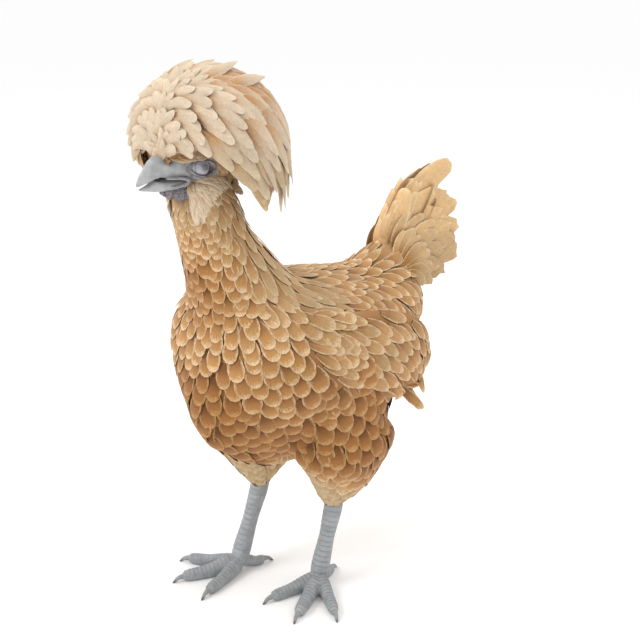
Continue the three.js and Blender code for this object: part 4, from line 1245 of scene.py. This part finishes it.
def tail_fan(tier, side, rng):
    """One tier: reach r at angle a lies at root + (out, r cos a - rise sin a, r sin a + rise cos a)."""
    count = tier["count"]
    share = np.linspace(0, 1, count)
    angle = np.radians(tier["first"] + (tier["last"] - tier["first"]) * share + rng.normal(0, 2, count))
    length = np.interp(share, np.linspace(0, 1, len(tier["lengths"])), tier["lengths"])
    length = length * rng.uniform(0.9, 1.03, count)

    def fanned(reach, rise):
        """The points of the tier's feathers at a reach from the root and a rise off their straight line."""
        out = 2.6 + 11 * share + 4.6 * tier["level"] + (1 + 8 * share) * reach / 106
        back = reach * np.cos(angle) - rise * np.sin(angle)
        up = reach * np.sin(angle) + rise * np.cos(angle)
        return TAIL_ROOT + np.stack([side * out, back, up], 1)

    arch = tier["arch"] * (0.6 + 0.4 * np.maximum(np.sin(angle), 0))
    facing = unit(np.stack([np.full(count, float(side)), -0.05 * np.sin(angle), 0.05 * np.cos(angle)], 1))
    low = smooth(share, 0.45, 0.75) if tier["level"] < 2 else 0.4 + 0.6 * smooth(share, 0.2, 0.7)
    return feathers(fanned(4 + 0 * angle, 0), fanned(length * 0.55, arch), fanned(length, -0.7 * arch),
                    facing, tier["width"], 3.0, rng, dim=1.8 * low, stem=0.3, widest=0.68,
                    end=rng.uniform(0.5, 0.85, count), cup=0.12, thick=1.4,
                    roll=np.radians(rng.normal(0, 11, count)), fray=0.06, quill=1.0, rows=14, cols=9)


# %% Roof and lining
def along_rays(ray, facing, length, foot, lift, bulge, share, *rest, **shape):
    """Feathers along rays from the tail's root: from foot over share * length to length, and lift or bulge
    off the ray on the side that they face."""
    length = length[:, None]
    return feathers(TAIL_ROOT + ray * foot + facing * lift, TAIL_ROOT + ray * length * share + facing * bulge,
                    TAIL_ROOT + ray * length + facing * lift, facing, *rest, **shape)


def tail_roof(rng):
    """Feathers over the ridge between the two fans, near the middle plane and facing forward."""
    angle = np.radians(np.array([59.0, 66, 70, 76, 80, 84, 58, 64, 72, 78]) + rng.normal(0, 1.5, 10))
    length = np.array([84.0, 72, 60, 48, 37, 27, 82, 70, 56, 42])
    lean = np.r_[rng.normal(0, 0.05, 6), -0.1, -0.12, -0.13, -0.14]
    ray = np.stack([lean, np.cos(angle), np.sin(angle)], 1)
    front = unit(np.stack([0.6 * np.sign(lean), -np.sin(angle), np.cos(angle)], 1))
    width = np.array([20.0, 20, 19, 18, 17, 15, 18, 18, 17, 16])
    return along_rays(ray, front, length, 4, 3, 14, 0.55, width, 3.0, rng, stem=0.35, widest=0.65, end=0.8,
                      cup=0.3, quill=0.8, rows=12)


def tail_lining(rng, count=14):
    """Feathers that close the tent of the tail from behind, near the middle plane and facing backward."""
    share = np.linspace(0, 1, count)
    angle, length = np.radians(50 - 62 * share), 92 - 48 * share
    ray = np.stack([0.09 * (-1.0) ** np.arange(count), np.cos(angle), np.sin(angle)], 1)
    behind = unit(np.stack([ray[:, 0] * 4, np.sin(angle), -np.cos(angle)], 1))
    return along_rays(ray, behind, length, 8, 4, 12, 0.6, 13 + 5 * share, 0.8, rng, stem=0.5, widest=0.65,
                      end=0.5, cup=0.1, quill=0.5, rows=10)


fans = [tail_fan(tier, side, rng) for side in SIDES.values() for tier in TAIL]
coat_piece("Tail", [*fans, tail_roof(rng), tail_lining(rng)], "cream_plumage", "tail")

# %% [markdown]
# ## Bill and wattles
# The upper half of the bill arches over the lower, with a nostril in a soft pit under a shelf, the pit
# darkened with painted shade, and the mouth between them is a slit with a flat blob in it that is painted
# dark as its shade. Both halves are forms on a fine grid, boxier where they meet. Under them hang the small,
# wrinkled wattles.

# %% The upper bill, with its nostrils
BILL_UPPER = [[0, -126, 362.5, 0, 0, 0], [0, -123, 364.8, 2.2, 2.7, 2.4], [0, -117, 368.2, 4.4, 5.6, 4],
              [0, -109.5, 372.3, 6.6, 8.4, 6.6], [0, -99, 375, 9, 10.6, 11.4], [0, -90, 374, 10.5, 8, 12],
              [0, -82, 373, 0, 0, 0]]
upper = form(BILL_UPPER, 120, 90, square=(1.55, 2.7))
ahead, above = upper[..., 1] + 104.5, upper[..., 2] - 376.5  # from the middle of the nostril
along, across = ahead - 0.5 * above, above + 0.35 * ahead
pit = np.exp(-(along / 3.0) ** 2 - (across / 1.4) ** 2)
shelf = np.exp(-(along / 3.6) ** 2 - ((across + 2.6) / 1.8) ** 2)
upper[..., 0] += np.sign(upper[..., 0]) * (0.9 * shelf - 1.7 * pit)
upper_points, upper_faces = tube(upper)
# the nostril pit is darkened as painted shade
nostril_shade = np.clip(np.resize(pit, len(upper_points)) * 1.8, 0, 1)
place_piece(mesh_object("Bill_upper", upper_points, upper_faces, horn, values={"dark_horn_and_shade": nostril_shade}),
            "horn", "bill_upper")

# %% The lower bill, with the painted shade of the mouth
BILL_LOWER = [[0, -124, 359.9, 0, 0, 0], [0, -117, 360.2, 3.4, 1.7, 2.2], [0, -110, 360.6, 5.2, 3.6, 3.9],
              [0, -97, 360.4, 7.8, 2.8, 4.4], [0, -88, 361, 8.6, 2.5, 5], [0, -80, 361.5, 0, 0, 0]]
lower = tube(form(BILL_LOWER, 96, 70, square=(2.8, 2.0)))
# a flat blob in the slit of the mouth, darkened as painted shade
mouth = tube(blob((0, -98, 363.2), (6.6, 14, 2.4), 40, 24))
mouth_shade = np.repeat([0, 0.8], [len(lower[0]), len(mouth[0])])
place_piece(mesh_object("Bill_lower", *join([lower, mouth]), horn, values={"dark_horn_and_shade": mouth_shade}),
            "horn", "bill_lower")

# %% Wattles
FOLDS = [((3.0, -99, 355.5), (2.4, 5.0, 3.8)), ((5.4, -92, 353.5), (3.2, 6.6, 5.4)),
         ((8.6, -86, 353), (2.6, 4.4, 4.6))]
WATTLE_TONE = 0.38

for name, side in SIDES.items():
    grids = [blob((side * middle[0], *middle[1:]), size, 60, 40) for middle, size in FOLDS]
    for grid in grids:
        x, y, z = np.moveaxis(grid, -1, 0)
        ripple = np.sin(y * 2.3 + 0.7 * np.sin(z * 1.1)) + 0.6 * np.sin(z * 2.9)
        x += side * 0.3 * ripple
        z += 0.3 * np.sin(y * 1.3 + x)
    wattle_points, wattle_faces = gather(grids)
    count = len(wattle_points)
    wattle = mesh_object("Wattle_" + name, wattle_points, wattle_faces, skin_finish,
                         values={"bare": np.ones(count), "tone": np.full(count, WATTLE_TONE)})
    place_piece(wattle, "bare_skin", "wattle_" + name)

# %% [markdown]
# ## Eyes
# Each eye is a ball whose map runs from the middle of the pupil outward, so that the finish can draw pupil
# and iris as rings.

# %% Eyeballs
for name, side in SIDES.items():
    middle = EYE * np.array([side, 1, 1])
    a = np.linspace(0, np.pi, 48)[:, None]
    b = np.linspace(0, 2 * np.pi, 64, endpoint=False)[None]
    way = np.broadcast_arrays(side * np.cos(a), side * np.sin(a) * np.cos(b), np.sin(a) * np.sin(b))
    eye_points, eye_faces = tube(middle + EYE_RADIUS * np.stack(way, -1))
    toward = (eye_points - middle) / EYE_RADIUS
    off = np.arccos(np.clip(side * toward[:, 0], -1, 1)) / np.pi
    around = np.abs(np.arctan2(toward[:, 2], toward[:, 1])) / np.pi
    eye = mesh_object("Eye_" + name, eye_points, eye_faces, eye_finish, {"iris": np.stack([around, off], 1)})
    place_piece(eye, "eye", "eye_" + name)

# %% [markdown]
# ## Legs
# Shank and toes are one skin with overlapping plates down the front and along each toe, and a net of small
# scales elsewhere. The forms are remeshed together, so the toes grow out of the foot, and the plates are
# raised by a saw-tooth of the distance along the limb.

# %% Forms of shank, toes and claws
TOES = {"inner": dict(length=48, turn=-37, rise=8, root=5.6, tip=4.2),
        "middle": dict(length=53, turn=0, rise=8, root=6.2, tip=4.4),
        "outer": dict(length=49, turn=34, rise=8, root=5.6, tip=4.2),
        "hind": dict(length=22, turn=172, rise=11, root=4.4, tip=3.6)}
CLAW = [[-7, 4.4, 0, 0, 0], [-3, 4.8, 2.5, 2.5, 2.5], [3.9, 3.8, 1.75, 1.75, 1.75], [7.2, 1.2, 1.1, 1.1, 1.1],
        [9.1, 0, 0, 0, 0]]  # reach past the toe, height, and a ring's three radii


def leg_forms(foot, side):
    """Grids of a leg's shank and toes, grids of its claws, and the two ends of each limb."""
    hock, (x, y) = np.array(foot["hock"], float), foot["at"]
    ankle, base = np.array([x, y, 17.0]), np.array([x, y, 0.0])
    shank = [[hock[0], hock[1] + 2, hock[2] + 14, 0, 0, 0], [*hock, 7.4, 8.2, 8.2],
             [*(hock + ankle) / 2, 6.4, 6.8, 6.8], [*ankle, 7.6, 7.8, 7.8], [x, y - 4, 2, 0, 0, 0]]
    limbs, claws, axes = [form(shank, 40, 60)], [], [(hock, ankle)]
    for toe in TOES.values():
        length, rise, root, tip = toe["length"], toe["rise"], toe["root"], toe["tip"]
        heading = math.radians(foot["turn"] + toe["turn"])
        ahead = np.array([side * math.sin(heading), -math.cos(heading), 0])
        rings = [[0, rise, 0, 0, 0], [length * 0.2, rise * 0.8, root, root, root + 2],
                 [length * 0.6, 4.4, root * 0.9, root * 0.9, root], [length * 0.92, 4, tip, tip, tip + 1],
                 [length, 3.6, 0, 0, 0]]
        claw = [[length + past, *rest] for past, *rest in CLAW]
        toe_rings, claw_rings = ([[*(base + ahead * reach + [0, 0, height]), *radii]
                                  for reach, height, *radii in table] for table in (rings, claw))
        limbs.append(form(toe_rings, 32, 48))
        claws.append(form(claw_rings, 20, 24))
        axes.append((base + [0, 0, rise], base + ahead * length + [0, 0, 4]))
    return limbs, claws, axes


# %% Plates along each limb
SHANK_PLATE, TOE_PLATE, PLATE_RISE = 4.6, 3.6, 0.55


def plates(points, normal, axes, forward):
    """Which plate each point is on, as 40 * limb + distance along it / plate, and how far it faces the plated
    side: forward on the shank, which is the first limb, and up on the toes."""
    best, run, front = np.full(len(points), 1e9), np.zeros(len(points)), np.zeros(len(points))
    for number, (start_at, end_at) in enumerate(axes):
        span = end_at - start_at
        share = np.clip(((points - start_at) @ span) / (span @ span), 0, 1)
        away = np.linalg.norm(points - start_at - share[:, None] * span, axis=1)
        nearer = away < best
        best = np.where(nearer, away, best)
        plate = TOE_PLATE if number else SHANK_PLATE
        run = np.where(nearer, 40 * number + share * np.linalg.norm(span) / plate, run)
        faces_it = smooth(normal[:, 2], 0.0, 0.5) if number else smooth(normal @ forward, -0.1, 0.45)
        front = np.where(nearer, faces_it, front)
    return run, front


# %% Both legs, on the floor
for name, side in SIDES.items():
    limbs, claws, axes = leg_forms(FEET[name], side)
    leg_points, leg_quads = remeshed(limbs, 0.0009, 5, scutes)
    normal = corner_normals(leg_points, leg_quads)
    turn = math.radians(FEET[name]["turn"])
    run, front = plates(leg_points, normal, axes, np.array([side * math.sin(turn), -math.cos(turn), 0]))
    leg_points = leg_points + normal * (front * (run % 1) * PLATE_RISE)[:, None]
    leg_points[:, 2] = np.maximum(leg_points[:, 2], 0)
    leg = mesh_object("Leg_" + name, leg_points, [leg_quads], scutes, values={"plate": run, "front": front})
    place_piece(leg, "scaled_skin", "shank_" + name, *[f"toe_{name}_{toe}" for toe in TOES])
    claw_points, claw_faces = gather(claws)
    claw_points[:, 2] = np.maximum(claw_points[:, 2], 0)
    # the claws are dark horn all over, darker still towards the floor
    claw = mesh_object("Claws_" + name, claw_points, claw_faces, horn,
                       values={"dark_horn_and_shade": 0.35 + 0.5 * (1 - smooth(claw_points[:, 2], 0.5, 4))})
    place_piece(claw, "horn", *[f"claw_{name}_{toe}" for toe in TOES])
